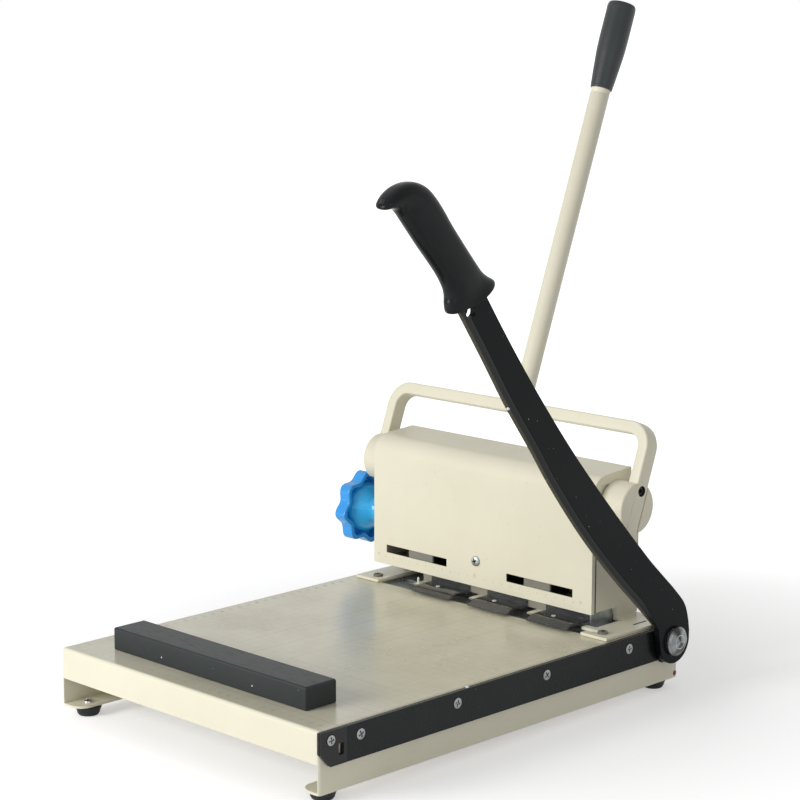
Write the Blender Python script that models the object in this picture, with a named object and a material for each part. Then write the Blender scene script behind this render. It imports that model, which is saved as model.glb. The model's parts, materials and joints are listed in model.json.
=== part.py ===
# Manual binding machine: a three-hole punch head and a guillotine blade on one steel base.
# Units are metres. Machine coordinates start at the base's front left corner on the floor:
# +X runs right along the front edge, +Y runs to the back, +Z up.
# The whole machine is then moved so that the middle of its footprint lies on the origin.

import math

import bmesh
import bpy
from mathutils import Matrix, Vector

for old_object in list(bpy.data.objects):
    bpy.data.objects.remove(old_object, do_unlink=True)

# Clearances and common sizes
seat_gap = 0.0003
running_gap = 0.0005
overrun = 0.004
fine_sides = 24
small_sides = 12
round_profile = 0.5
foot_sides = 18
hub_sides = 40

# Base tray
base_width = 0.300
base_depth = 0.412
skirt_height = 0.0483
foot_height = 0.008
base_sheet = 0.002
bend_radius = 0.003
bend_segments = 3
lip_height = 0.0254
flange_width = 0.022
flange_corner_radius = 0.012
deck = foot_height + skirt_height

# Rubber feet
foot_inset_x = 0.013
foot_inset_y = 0.016
foot_top_radius = 0.011
foot_bottom_radius = 0.0085
foot_stud_radius = 0.002
foot_stud_head_radius = 0.004
foot_stud_head_height = 0.0026
foot_dome_share = 0.55

# Knife rail, lock plate and their countersunk screws
rail_thickness = 0.004
rail_front_overhang = 0.002
rail_rear_inset = 0.026
rail_height = 0.0269
rail_chamfer_y = 0.010
rail_chamfer_z = 0.0106
rail_screw_first = 0.0378
rail_screw_last_inset = 0.0435
rail_screw_count = 4
rail_screw_drop = 0.0091
lock_plate_length = 0.0265
lock_plate_thickness = 0.0012
lock_screw_y = 0.0082
lock_screw_drop = 0.0071
lock_window_y = 0.0183
lock_window_drop = 0.0155
lock_window_width = 0.0050
lock_window_height = 0.0088
small_screw_radius = 0.0019
small_screw_head_radius = 0.0042
small_screw_head_depth = 0.0021
small_screw_tail = 0.004
screw_crown_share = 0.8
dome_shoulder_share = 0.85
dome_crown_share = 0.6

# Blade pivot
pivot_inset = 0.0183
pivot_drop = 0.0114
pivot_bolt_radius = 0.006
pivot_bolt_head_radius = 0.0096
pivot_bolt_head_height = 0.007
bracket_length = 0.0235
bracket_low_drop = 0.0300
bracket_high_rise = 0.0055
bracket_corner_radius = 0.009
blade_clearance = 0.0011
spring_washer_radius = 0.0115
spring_washer_thickness = 0.0015
nut_radius = 0.01225
nut_flange_thickness = 0.0014
nut_dome_height = 0.0061
nut_dome_shares = ((0.0, 0.93), (0.45, 0.84), (0.8, 0.62), (1.0, 0.34))
nut_bore_depth = 0.0036

# Blade arm: its outline runs along u from the pivot to the handle and across n towards the back edge
blade_rest_angle = math.radians(48.6)
blade_length = 0.400
blade_breadth = 0.050
blade_thickness = 0.0055
blade_edge_land = 0.0012
blade_bevel = 0.0065
blade_eye_radius = 0.0192
blade_eye_step = math.radians(15)
blade_eye_end = math.radians(292)
blade_edge_shares = (
    (0.0640, -0.134), (0.1325, -0.182), (0.265, -0.286), (0.400, -0.334), (0.5425, -0.300),
    (0.6425, -0.226), (0.7625, -0.152), (0.885, -0.030), (0.9968, 0.072))
blade_bevel_shares = (0.1, 1.0, 1.0, 1.0, 1.0, 1.0, 1.0, 1.0, 0.1)
blade_end_shares = ((0.9915, 0.16), (0.9700, 0.56))
blade_back_shares = (
    (0.96875, 0.706), (0.8525, 0.742), (0.7575, 0.720), (0.640, 0.642), (0.515, 0.578), (0.3775, 0.560),
    (0.265, 0.528), (0.1575, 0.624), (0.0747, 0.660), (0.0215, 0.588), (-0.0215, 0.362))
tang_reach = 0.095
tang_low = 0.008
tang_high = 0.028
blade_hole_share = 0.97375
blade_hole_n = 0.0105
blade_hole_radius = 0.0045

# Blade handle, moulded round the tang
handle_thickness = 0.0205
handle_length = 0.1337
handle_start_share = 0.96825
handle_breadth = 0.050
handle_round = 0.0045
handle_shares = (
    (0.938, -0.040), (0.946, 0.060), (0.942, 0.200), (0.928, 0.355), (0.895, 0.510), (0.845, 0.632),
    (0.775, 0.722), (0.690, 0.764), (0.600, 0.768), (0.499, 0.748), (0.260, 0.742), (0.155, 0.745),
    (0.080, 0.782), (0.026, 0.848), (0.002, 0.820), (0.003, 0.700), (0.007, 0.640), (0.094, 0.040),
    (0.114, -0.040), (0.152, -0.062), (0.206, 0.014), (0.264, 0.088),
    (0.340, 0.120), (0.454, 0.122), (0.574, 0.114), (0.800, 0.120), (0.845, 0.100), (0.876, 0.030),
    (0.902, -0.055), (0.924, -0.085))

# Paper stop block
stop_left = 0.035
stop_right = 0.0405
stop_front = 0.0255
stop_depth = 0.0315
stop_height = 0.018
stop_edge_round = 0.0016

# Punch head casing
head_shift = 0.0114
head_side_margin = 0.046
head_inset = 0.0719
cover_sheet = 0.0012
cover_clearance = 0.0117
cover_height = 0.1155
cover_depth = 0.0484
cover_rise = 0.0025
cover_corner_radius = 0.016
cover_corner_segments = 6
cover_front_return = 0.004
cover_top_return = 0.008
fold_share = 0.6
plate_thickness = 0.004
plate_depth = 0.060
plate_top_drop = 0.0035
plate_chamfer_y = 0.0140
plate_chamfer_z = 0.0220
plate_front_chamfer = 0.012
slope_share = 0.75
notch_depth = 0.0347
foot_plate_thickness = 0.0025
foot_reach = 0.0201
right_foot_width = 0.0277
right_foot_inset = 0.0013
left_foot_width = 0.0276
left_foot_outer = 0.009
foot_slot_width = 0.0062
prong_reach = 0.010
prong_width = 0.007
head_screw_reach = 0.0101
left_head_screw_inset = 0.0181
right_head_screw_inset = 0.0123
head_screw_radius = 0.0022
head_screw_head_radius = 0.0044
head_screw_head_height = 0.0026

# Scale slots and cover screw
scale_shift = 0.0026
slot_near = 0.0350
slot_end_margin = 0.0134
slot_rise = 0.0110
slot_height = 0.0070
cover_screw_rise = 0.0227
cover_screw_radius = 0.0021
cover_screw_head_radius = 0.0044
cover_screw_head_height = 0.0024
cover_screw_reach = 0.004

# Lever shaft with its pinions
shaft_setback = 0.0290
shaft_rise = 0.1007
shaft_radius = 0.006
pinion_teeth = 10
tooth_module = 0.0018
pressure_angle = math.radians(28)
tooth_addendum = 0.0014
tooth_dedendum = 0.0022
backlash = 0.0004
pinion_width = 0.007
pinion_end_gap = 0.0060

# Hubs, lever frame, lever and grip
hub_radius = 0.021
hub_boss_radius = 0.012
hub_overhang = 0.0227
hub_chamfer = 0.0008
lever_lean = math.radians(20.5)
bar_thickness = 0.0105
bar_width = 0.015
bar_edge_round = 0.0012
crossbar_reach = 0.065
frame_bend_radius = 0.022
frame_bend_segments = 6
hub_screw_reach = 0.0145
hub_screw_radius = 0.0025
hub_screw_head_radius = 0.0042
hub_screw_head_height = 0.0045
hub_screw_length = 0.016
lever_radius = 0.0085
lever_spigot_radius = 0.005
lever_top = 0.424
grip_bottom = 0.353
grip_top = 0.431
grip_radius = 0.0128
grip_profile_shares = ((0.0, 0.72), (0.03, 0.78), (0.42, 0.97), (0.6, 1.0), (0.93, 1.0), (0.985, 0.94), (1.0, 0.82))

# Punch beam, racks, columns and springs
punch_setback = 0.0091
beam_rise = 0.0697
beam_height = 0.016
beam_depth = 0.014
beam_end_gap = 0.0025
neck_height = 0.004
head_height = 0.004
punch_radius = 0.0028
punch_head_radius = 0.004
punch_bore_radius = 0.0019
punch_bore_depth = 0.006
punch_bevel = 0.001
punch_tip_rise = 0.0062
punch_stroke = 0.0110
rack_body_depth = 0.0095
rack_height = 0.0336
column_offset = 0.020
column_radius = 0.0035
column_top_rise = 0.092
column_cap_radius = 0.0062
column_cap_height = 0.0035
spring_wire_radius = 0.0006
spring_clearance = 0.0006
spring_turns = 6
spring_points_per_turn = 10
spring_sides = 6

# Guide plate, centre block and punch carriers
guide_plate_rise = 0.0120
guide_plate_thickness = 0.004
guide_plate_depth = 0.0539
block_depth = 0.0319
center_block_half_width = 0.027
center_block_height = 0.0254
column_socket_depth = 0.010
hole_offset = 0.068
travel_in = 0.0173
carrier_end_gap = 0.0152
carrier_half_width = 0.011
carrier_front_height = 0.028
carrier_height = 0.0475
pointer_half_width = 0.0145
pointer_thickness = 0.0020
pointer_height = 0.011

# Spacing spindle and star knob
spindle_setback = 0.0209
spindle_rise = 0.0537
spindle_radius = 0.0045
spindle_collar_radius = 0.007
spindle_collar_width = 0.0035
knob_reach = 0.0391
knob_rim_width = 0.012
knob_mean_radius = 0.0308
knob_wave = 0.0025
knob_lobes = 8
knob_points_per_lobe = 6
knob_wall = 0.0045
knob_web = 0.0035
knob_phase = math.radians(95.5)
knob_dome_shares = ((0.0, 1.0), (0.16, 0.96), (0.32, 0.80), (0.46, 0.56), (0.60, 0.44), (1.0, 0.42))
knob_dome_radius = 0.0215
knob_socket_depth = 0.026

# Window in the deck, die bar, cutting pad and the blocks that carry the guide plate
window_left_inset = 0.0159
window_right_outset = 0.0149
window_front_reach = 0.0161
window_setback = 0.0399
die_bar_margin_x = 0.014
die_bar_front_margin = 0.006
die_bar_rear_margin = 0.0035
die_bar_height = 0.010
pad_groove_depth = 0.007
pad_half_width = 0.0044
pad_end_margin = 0.0069
block_width = 0.0155
block_front_setback = 0.0059
block_back_setback = 0.0344
left_block_front_setback = 0.0319
left_block_back_setback = 0.0519

# Smoked guards on their painted brackets
guard_names = ("left", "centre", "right")
guard_row_margin = 0.0438
guard_shift = 0.0119
guard_gap = 0.0219
guard_reach = 0.0231
guard_sheet = 0.0022
guard_lip_rise = 0.0017
guard_slope_length = 0.008
guard_flat_rise = 0.0041
guard_flange_setback = 0.0039
tab_reach = 0.0086
tab_left_reach = 0.012
tab_side_margin = 0.0015
tab_rise = 0.0022
tab_thickness = 0.0016
guard_screw_share = 0.39
guard_screw_reach = 0.0081
guard_screw_radius = 0.0015

# Places that follow from the sizes
head_width = base_width - head_side_margin
head_center = base_width / 2 - head_shift
scale_center = head_center - scale_shift
cover_front = base_depth - head_inset
plate_rear = cover_front + plate_depth
notch_rear = cover_front + notch_depth
foot_front = cover_front - foot_reach
head_screw_front = cover_front - head_screw_reach
shaft_y = cover_front + shaft_setback
punch_y = cover_front + punch_setback
spindle_y = cover_front + spindle_setback
guide_plate_rear = cover_front + guide_plate_depth
block_rear = cover_front + block_depth
block_front = cover_front + block_front_setback
block_back = cover_front + block_back_setback
left_block_front = cover_front + left_block_front_setback
left_block_back = cover_front + left_block_back_setback
window_front = cover_front - window_front_reach
window_rear = cover_front + window_setback
guard_front = cover_front - guard_reach
guard_flange_rear = cover_front + guard_flange_setback
tab_front = cover_front - tab_reach
guard_screw_y = cover_front - guard_screw_reach
left_foot_inner = left_foot_outer + left_foot_width
right_foot_outer = base_width - right_foot_inset
right_foot_inner = right_foot_outer - right_foot_width
left_head_screw_x = left_foot_outer + left_head_screw_inset
right_head_screw_x = right_foot_outer - right_head_screw_inset
rail_rear = base_depth - rail_rear_inset
rail_screw_pitch = (rail_rear - rail_screw_first - rail_screw_last_inset) / (rail_screw_count - 1)
pivot_y = base_depth - pivot_inset
stop_length = base_width - stop_left - stop_right
tang_length = blade_length + tang_reach
cover_bottom = deck + cover_clearance
cover_top = cover_bottom + cover_height
cover_rear = cover_front + cover_depth
plate_outer_half = head_width / 2 - cover_sheet - seat_gap
plate_inner_half = plate_outer_half - plate_thickness
plate_front = cover_front + cover_sheet + seat_gap
plate_bottom = deck + seat_gap
pinion_offset = plate_inner_half - pinion_end_gap
beam_half_length = plate_inner_half - beam_end_gap
travel_out = plate_inner_half - hole_offset - carrier_half_width - carrier_end_gap
slot_far = hole_offset + travel_out + slot_end_margin
pad_half_length = hole_offset + travel_out + pad_end_margin
knob_outer_x = head_center - plate_outer_half - knob_reach
window_left = head_center - plate_inner_half + window_left_inset
window_right = head_center + plate_inner_half + window_right_outset
guard_pitch = (2 * plate_inner_half - guard_row_margin) / len(guard_names)
guard_width = guard_pitch - guard_gap
tab_width = guard_width + tab_side_margin
plate_top = cover_top - plate_top_drop
hub_outer_half = head_width / 2 + hub_overhang
hub_inner_half = head_width / 2 + seat_gap
shaft_z = deck + shaft_rise
spindle_z = deck + spindle_rise
pivot_z = deck - pivot_drop
pitch_radius = tooth_module * pinion_teeth / 2
beam_bottom = deck + beam_rise
beam_top = beam_bottom + beam_height
guide_bottom = deck + guide_plate_rise
guide_top = guide_bottom + guide_plate_thickness
guide_front = cover_front + cover_sheet + running_gap
carrier_floor = guide_top + seat_gap
pointer_front = cover_front + cover_sheet + running_gap
carrier_front = pointer_front + pointer_thickness + seat_gap
foot_plate_top = plate_bottom + foot_plate_thickness
rail_inner_x = base_width + seat_gap
rail_outer_x = rail_inner_x + rail_thickness
blade_inner_x = rail_outer_x + blade_clearance
blade_outer_x = blade_inner_x + blade_thickness
nut_inner_x = blade_outer_x + seat_gap + spring_washer_thickness + seat_gap
nut_outer_x = nut_inner_x + nut_flange_thickness + nut_dome_height
lever_reach_y = max(
    (grip_bottom + along * (grip_top - grip_bottom)) * math.sin(lever_lean)
    + width * grip_radius * math.cos(lever_lean)
    for along, width in grip_profile_shares)

origin = Vector((
    (knob_outer_x + nut_outer_x) / 2,
    (shaft_y + lever_reach_y - rail_front_overhang) / 2,
    0))

# Bodies: each has an empty on its joint axis, which carries the body's pieces
body_places = {
    "base": (None, Vector((0, 0, 0))),
    "lever": ("base", Vector((head_center, shaft_y, shaft_z))),
    "punch_beam": ("base", Vector((scale_center, punch_y, beam_bottom))),
    "punch_centre": ("base", Vector((scale_center, punch_y, deck + punch_tip_rise))),
    "spindle": ("base", Vector((head_center, spindle_y, spindle_z))),
    "carrier_left": ("base", Vector((scale_center - hole_offset, punch_y, carrier_floor))),
    "carrier_right": ("base", Vector((scale_center + hole_offset, punch_y, carrier_floor))),
    "punch_left": ("carrier_left", Vector((scale_center - hole_offset, punch_y, deck + punch_tip_rise))),
    "punch_right": ("carrier_right", Vector((scale_center + hole_offset, punch_y, deck + punch_tip_rise))),
    "blade": ("base", Vector((blade_inner_x, pivot_y, pivot_z))),
    "paper_stop": ("base", Vector((stop_left + stop_length / 2, stop_front, deck))),
}

body_empties = {}
for body_name, (parent_name, place) in body_places.items():
    empty = bpy.data.objects.new("axis_" + body_name, None)
    empty.empty_display_size = base_sheet
    bpy.context.scene.collection.objects.link(empty)
    if parent_name:
        empty.parent = body_empties[parent_name]
        empty.location = place - body_places[parent_name][1]
    else:
        empty.location = place - origin
    body_empties[body_name] = empty

# Finishes: base colour, roughness, metallic
finishes = {
    "cream paint": ((0.83, 0.77, 0.62), 0.42, 0.0),
    "black paint": ((0.012, 0.014, 0.015), 0.30, 0.0),
    "black plastic": ((0.010, 0.011, 0.012), 0.22, 0.0),
    "dark block": ((0.030, 0.034, 0.036), 0.45, 0.0),
    "rubber": ((0.020, 0.022, 0.024), 0.75, 0.0),
    "chrome": ((0.75, 0.76, 0.78), 0.15, 1.0),
    "zinc": ((0.62, 0.64, 0.66), 0.35, 1.0),
    "steel": ((0.45, 0.46, 0.47), 0.35, 1.0),
    "bronze": ((0.55, 0.36, 0.16), 0.35, 1.0),
    "black steel": ((0.02, 0.02, 0.022), 0.40, 0.6),
    "blue plastic": ((0.02, 0.25, 0.85), 0.28, 0.0),
    "smoked plastic": ((0.05, 0.055, 0.06), 0.15, 0.0),
    "clear plastic": ((0.30, 0.29, 0.26), 0.25, 0.0),
    "pad plastic": ((0.72, 0.70, 0.62), 0.50, 0.0),
}


def box(low, high):
    """A cuboid between two corners."""
    mesh = bmesh.new()
    bmesh.ops.create_cube(mesh, size=1)
    for vert in mesh.verts:
        for axis in range(3):
            vert.co[axis] = low[axis] if vert.co[axis] < 0 else high[axis]
    return mesh


def oriented(mesh):
    """Turn every face of a closed mesh outwards."""
    bmesh.ops.recalc_face_normals(mesh, faces=mesh.faces)
    return mesh


def placed(axis, along, first, second):
    """A point from its place along an axis and its two coordinates across it, in X, Y, Z order."""
    if axis == "X":
        return (along, first, second)
    if axis == "Y":
        return (first, along, second)
    return (first, second, along)


def loft(loops):
    """A closed body through loops of equally many points, with flat ends."""
    mesh = bmesh.new()
    rings = [[mesh.verts.new(point) for point in loop] for loop in loops]
    count = len(rings[0])
    for ring, following in zip(rings, rings[1:]):
        for index in range(count):
            after = (index + 1) % count
            mesh.faces.new((ring[index], ring[after], following[after], following[index]))
    mesh.faces.new(rings[0])
    mesh.faces.new(rings[-1])
    return oriented(mesh)


def prism(outline, axis, low, high):
    """An outline of points across an axis, extruded along it."""
    return loft([[placed(axis, along, first, second) for first, second in outline] for along in (low, high)])


def turned(profile, axis, center, sides=fine_sides, phase=0.0):
    """A solid of revolution from (along, radius) points, from its low end to its high end."""
    loops = []
    for along, radius in profile:
        angles = [phase + math.tau * index / sides for index in range(sides)]
        loops.append([
            placed(axis, along, center[0] + radius * math.cos(angle), center[1] + radius * math.sin(angle))
            for angle in angles])
    return loft(loops)


def rod(axis, center, radius, low, high, sides=fine_sides):
    """A plain round bar, or the cutter for a round hole."""
    return turned(((low, radius), (high, radius)), axis, center, sides)


def arc(center, radius, start, end, segments):
    """Points along a circle, end points included."""
    angles = [start + (end - start) * index / segments for index in range(segments + 1)]
    return [(center[0] + radius * math.cos(angle), center[1] + radius * math.sin(angle)) for angle in angles]


def combined(target, tools, operation):
    """Join tools to a mesh, or cut them from it, one after another."""
    shape_mesh = bpy.data.meshes.new("shape")
    target.to_mesh(shape_mesh)
    shape = bpy.data.objects.new("shape", shape_mesh)
    bpy.context.scene.collection.objects.link(shape)
    helpers = []
    for tool in tools:
        tool_mesh = bpy.data.meshes.new("tool")
        tool.to_mesh(tool_mesh)
        helper = bpy.data.objects.new("tool", tool_mesh)
        helper.hide_render = True
        helper.display_type = "WIRE"
        bpy.context.scene.collection.objects.link(helper)
        step = shape.modifiers.new("step", "BOOLEAN")
        step.operation = operation
        step.solver = "EXACT"
        step.object = helper
        helpers.append(helper)
    depsgraph = bpy.context.evaluated_depsgraph_get()
    result = bpy.data.meshes.new_from_object(shape.evaluated_get(depsgraph))
    joined = bmesh.new()
    joined.from_mesh(result)
    for helper in helpers + [shape]:
        bpy.data.objects.remove(helper, do_unlink=True)
    return joined


def cut(target, *tools):
    return combined(target, tools, "DIFFERENCE")


def united(target, *tools):
    return combined(target, tools, "UNION")


def round_edges(mesh, chosen, width, segments):
    """Round the edges that a test picks."""
    edges = [edge for edge in mesh.edges if chosen(edge)]
    bmesh.ops.bevel(
        mesh, geom=edges, offset=width, segments=segments, profile=round_profile, affect="EDGES",
        clamp_overlap=True)
    return mesh


def mirrored(mesh, axis, middle):
    """A copy reflected about a plane across an axis."""
    copy = mesh.copy()
    for vert in copy.verts:
        vert.co[axis] = 2 * middle - vert.co[axis]
    return oriented(copy)


def piece(name, mesh, finish, body="base", smooth_angle=35):
    """Make one named sub-part with its own material and hang it on its body's empty."""
    bmesh.ops.translate(mesh, vec=-body_places[body][1], verts=mesh.verts)
    data = bpy.data.meshes.new(name)
    mesh.to_mesh(data)
    colour, roughness, metallic = finishes[finish]
    material = bpy.data.materials.new(name)
    material.use_nodes = True
    shader = material.node_tree.nodes["Principled BSDF"]
    shader.inputs["Base Color"].default_value = (*colour, 1)
    shader.inputs["Roughness"].default_value = roughness
    shader.inputs["Metallic"].default_value = metallic
    data.materials.append(material)
    data.shade_smooth()
    data.set_sharp_from_angle(angle=math.radians(smooth_angle))
    made = bpy.data.objects.new(name, data)
    bpy.context.scene.collection.objects.link(made)
    made.parent = body_empties[body]
    return made


# Shared places
foot_centers = [
    (x, y)
    for x in (foot_inset_x, base_width - foot_inset_x)
    for y in (foot_inset_y, base_depth - foot_inset_y)]
foot_names = ("front_left", "rear_left", "front_right", "rear_right")
rail_screw_places = [
    (rail_screw_first + rail_screw_pitch * index, deck - rail_screw_drop) for index in range(rail_screw_count)]
lock_screw_place = (lock_screw_y, deck - lock_screw_drop)
bracket_front = rail_rear + seat_gap
bracket_rear = bracket_front + bracket_length
bracket_low = deck - bracket_low_drop
bracket_high = deck + bracket_high_rise
small_screw_places = [lock_screw_place] + rail_screw_places
head_screw_places = [(x, head_screw_front) for x in (left_head_screw_x, right_head_screw_x)]
guard_lefts = [scale_center + guard_shift + guard_pitch * step for step in (-1, 0, 1)]
guard_screw_places = [(left + guard_width * guard_screw_share, guard_screw_y) for left in guard_lefts]
column_places = [(scale_center + side * column_offset, punch_y) for side in (-1, 1)]


def small_screw_hole(place):
    """A countersunk hole through rail and skirt, running in from the rail's outer face."""
    loose = seat_gap
    return turned((
        (base_width - base_sheet - small_screw_tail - overrun, small_screw_radius + loose),
        (rail_outer_x - small_screw_head_depth - loose, small_screw_radius + loose),
        (rail_outer_x + overrun, small_screw_head_radius + loose + overrun)), "X", place, small_sides)


def make_base_tray():
    tray = box((0, 0, foot_height), (base_width, base_depth, deck))

    def is_bend(edge):
        """The top edges and the upright corners are folded round."""
        first, second = edge.verts[0].co, edge.verts[1].co
        upright = abs(first.z - second.z) > base_sheet
        return upright or min(first.z, second.z) > foot_height + base_sheet

    round_edges(tray, is_bend, bend_radius, bend_segments)
    inner_right = base_width - base_sheet
    inner_rear = base_depth - base_sheet
    inner_floor = foot_height + base_sheet
    hollow = box((base_sheet, base_sheet, inner_floor), (inner_right, inner_rear, deck - base_sheet))
    underside = box(
        (flange_width, -overrun, foot_height - overrun),
        (base_width - flange_width, base_depth + overrun, inner_floor + base_sheet))
    below_lip = [
        box((base_sheet, low, inner_floor), (inner_right, high, deck - lip_height))
        for low, high in ((-overrun, base_sheet + overrun), (inner_rear - overrun, base_depth + overrun))]
    corner = [(flange_width + overrun, -overrun), (flange_width + overrun, flange_corner_radius)]
    corner += arc(
        (flange_width - flange_corner_radius, flange_corner_radius), flange_corner_radius,
        0, -math.pi / 2, bend_segments * 2)
    corner += [(flange_width - flange_corner_radius, -overrun)]
    front_left = prism(corner, "Z", foot_height - overrun, inner_floor + base_sheet / 2)
    front_right = mirrored(front_left, 0, base_width / 2)
    flange_corners = [
        front_left, front_right,
        mirrored(front_left, 1, base_depth / 2), mirrored(front_right, 1, base_depth / 2)]
    window = box((window_left, window_front, deck - overrun), (window_right, window_rear, deck + overrun))
    foot_holes = [
        rod("Z", place, foot_stud_radius + seat_gap, foot_height - overrun, inner_floor + overrun, small_sides)
        for place in foot_centers]
    head_holes = [
        rod("Z", place, head_screw_radius + seat_gap, deck - overrun, deck + overrun, small_sides)
        for place in head_screw_places]
    rail_holes = [
        rod("X", place, small_screw_radius + seat_gap, inner_right - overrun, base_width + overrun, small_sides)
        for place in small_screw_places]
    pivot_hole = rod(
        "X", (pivot_y, pivot_z), pivot_bolt_radius + seat_gap, inner_right - overrun, base_width + overrun)
    tray = cut(tray, hollow, underside, *below_lip, *flange_corners, window)
    tray = cut(tray, *foot_holes, *head_holes, *rail_holes, pivot_hole)
    piece("base_tray", tray, "cream paint")


def make_feet():
    """Tapered rubber feet, each moulded with a stud whose domed head holds it on the flange."""
    for place, name in zip(foot_centers, foot_names):
        head_floor = foot_height + base_sheet + seat_gap
        foot = turned((
            (0, foot_bottom_radius),
            (foot_height - seat_gap, foot_top_radius),
            (foot_height - seat_gap, foot_stud_radius),
            (head_floor, foot_stud_radius),
            (head_floor, foot_stud_head_radius),
            (head_floor + foot_stud_head_height, foot_stud_head_radius * foot_dome_share)), "Z", place, foot_sides)
        piece("rubber_foot_" + name, foot, "rubber")


def rail_outline(rear, inset=0.0):
    """The rail's side view from its chamfered nose back to a given end."""
    low = deck - rail_height
    return [
        (-rail_front_overhang, low + rail_chamfer_z), (-rail_front_overhang + rail_chamfer_y, low),
        (rear, low), (rear, deck - inset), (-rail_front_overhang, deck - inset)]


def make_knife_rail():
    rail = prism(rail_outline(rail_rear), "X", rail_inner_x, rail_outer_x)
    pocket = box(
        (rail_outer_x - lock_plate_thickness - seat_gap, -overrun, deck - rail_height - overrun),
        (rail_outer_x + overrun, lock_plate_length - rail_front_overhang + seat_gap, deck + overrun))
    window = lock_window()
    holes = [small_screw_hole(place) for place in [lock_screw_place] + rail_screw_places]
    piece("knife_rail", cut(rail, pocket, window, *holes), "black paint")
    plate = prism(
        rail_outline(lock_plate_length - rail_front_overhang), "X", rail_outer_x - lock_plate_thickness, rail_outer_x)
    piece("lock_plate", cut(plate, lock_window(), small_screw_hole(lock_screw_place)), "black steel")


def lock_window():
    """The upright window through the rail's nose and the plate on it."""
    middle = deck - lock_window_drop
    return box(
        (rail_inner_x - overrun, lock_window_y - lock_window_width / 2, middle - lock_window_height / 2),
        (rail_outer_x + overrun, lock_window_y + lock_window_width / 2, middle + lock_window_height / 2))


def make_rail_screws():
    names = ["lock_plate_screw"] + ["rail_screw_" + str(index + 1) for index in range(rail_screw_count)]
    for place, name in zip([lock_screw_place] + rail_screw_places, names):
        screw = turned((
            (base_width - base_sheet - small_screw_tail, small_screw_radius),
            (rail_outer_x - small_screw_head_depth, small_screw_radius),
            (rail_outer_x, small_screw_head_radius),
            (rail_outer_x + seat_gap, small_screw_head_radius * screw_crown_share)), "X", place, small_sides)
        piece(name, screw, "chrome")


def make_blade_pivot():
    corner = (bracket_rear - bracket_corner_radius, bracket_high - bracket_corner_radius)
    outline = [(bracket_front, bracket_low), (bracket_rear, bracket_low)]
    outline += arc(corner, bracket_corner_radius, 0, math.pi / 2, bend_segments)
    outline += [(bracket_front, bracket_high)]
    bracket = prism(outline, "X", rail_inner_x, rail_outer_x)
    center = (pivot_y, pivot_z)
    loose_bolt = pivot_bolt_radius + seat_gap
    bore = rod("X", center, loose_bolt, rail_inner_x - overrun, rail_outer_x + overrun)
    piece("pivot_bracket", cut(bracket, bore), "black steel")

    inner_face = base_width - base_sheet - seat_gap
    bolt_end = nut_inner_x + nut_bore_depth
    shank = rod("X", center, pivot_bolt_radius, inner_face - pivot_bolt_head_height / 2, bolt_end)
    head = rod("X", center, pivot_bolt_head_radius, inner_face - pivot_bolt_head_height, inner_face, 6)
    piece("pivot_bolt", united(head, shank), "zinc")

    spring_low = blade_outer_x + seat_gap
    ring = rod("X", center, spring_washer_radius, spring_low, spring_low + spring_washer_thickness)
    ring_bore = rod("X", center, loose_bolt, spring_low - overrun, spring_low + overrun)
    piece("spring_washer", cut(ring, ring_bore), "zinc")

    dome_low = nut_inner_x + nut_flange_thickness
    profile = [(nut_inner_x, nut_radius), (dome_low, nut_radius)]
    profile += [(dome_low + height * nut_dome_height, width * nut_radius) for height, width in nut_dome_shares]
    nut = turned(profile, "X", center)
    nut_bore = rod("X", center, loose_bolt, nut_inner_x - overrun, bolt_end + seat_gap)
    piece("pivot_nut", cut(nut, nut_bore), "chrome")


def on_blade(along, across, x):
    """A place on the blade arm, from its distance along and across the arm, as a machine point."""
    return (
        x,
        pivot_y - along * math.cos(blade_rest_angle) + across * math.sin(blade_rest_angle),
        pivot_z + along * math.sin(blade_rest_angle) + across * math.cos(blade_rest_angle))


def blade_outlines():
    """The arm's outline at its inner face, and at its outer face where the edge is ground back."""
    edge = [(along * blade_length, across * blade_breadth) for along, across in blade_edge_shares]
    ground = [
        (along, across + blade_bevel * share) for (along, across), share in zip(edge, blade_bevel_shares)]
    end = [(along * blade_length, across * blade_breadth) for along, across in blade_end_shares]
    tang = [(end[0][0], tang_low), (tang_length, tang_low), (tang_length, tang_high), (end[1][0], tang_high)]
    back = [(along * blade_length, across * blade_breadth) for along, across in blade_back_shares]
    last_along, last_across = back[-1]
    eye_start = math.atan2(last_across, last_along) + blade_eye_step
    eye = arc((0, 0), blade_eye_radius, eye_start, blade_eye_end, bend_segments * 4)
    return edge + tang + back + eye, ground + tang + back + eye


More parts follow.
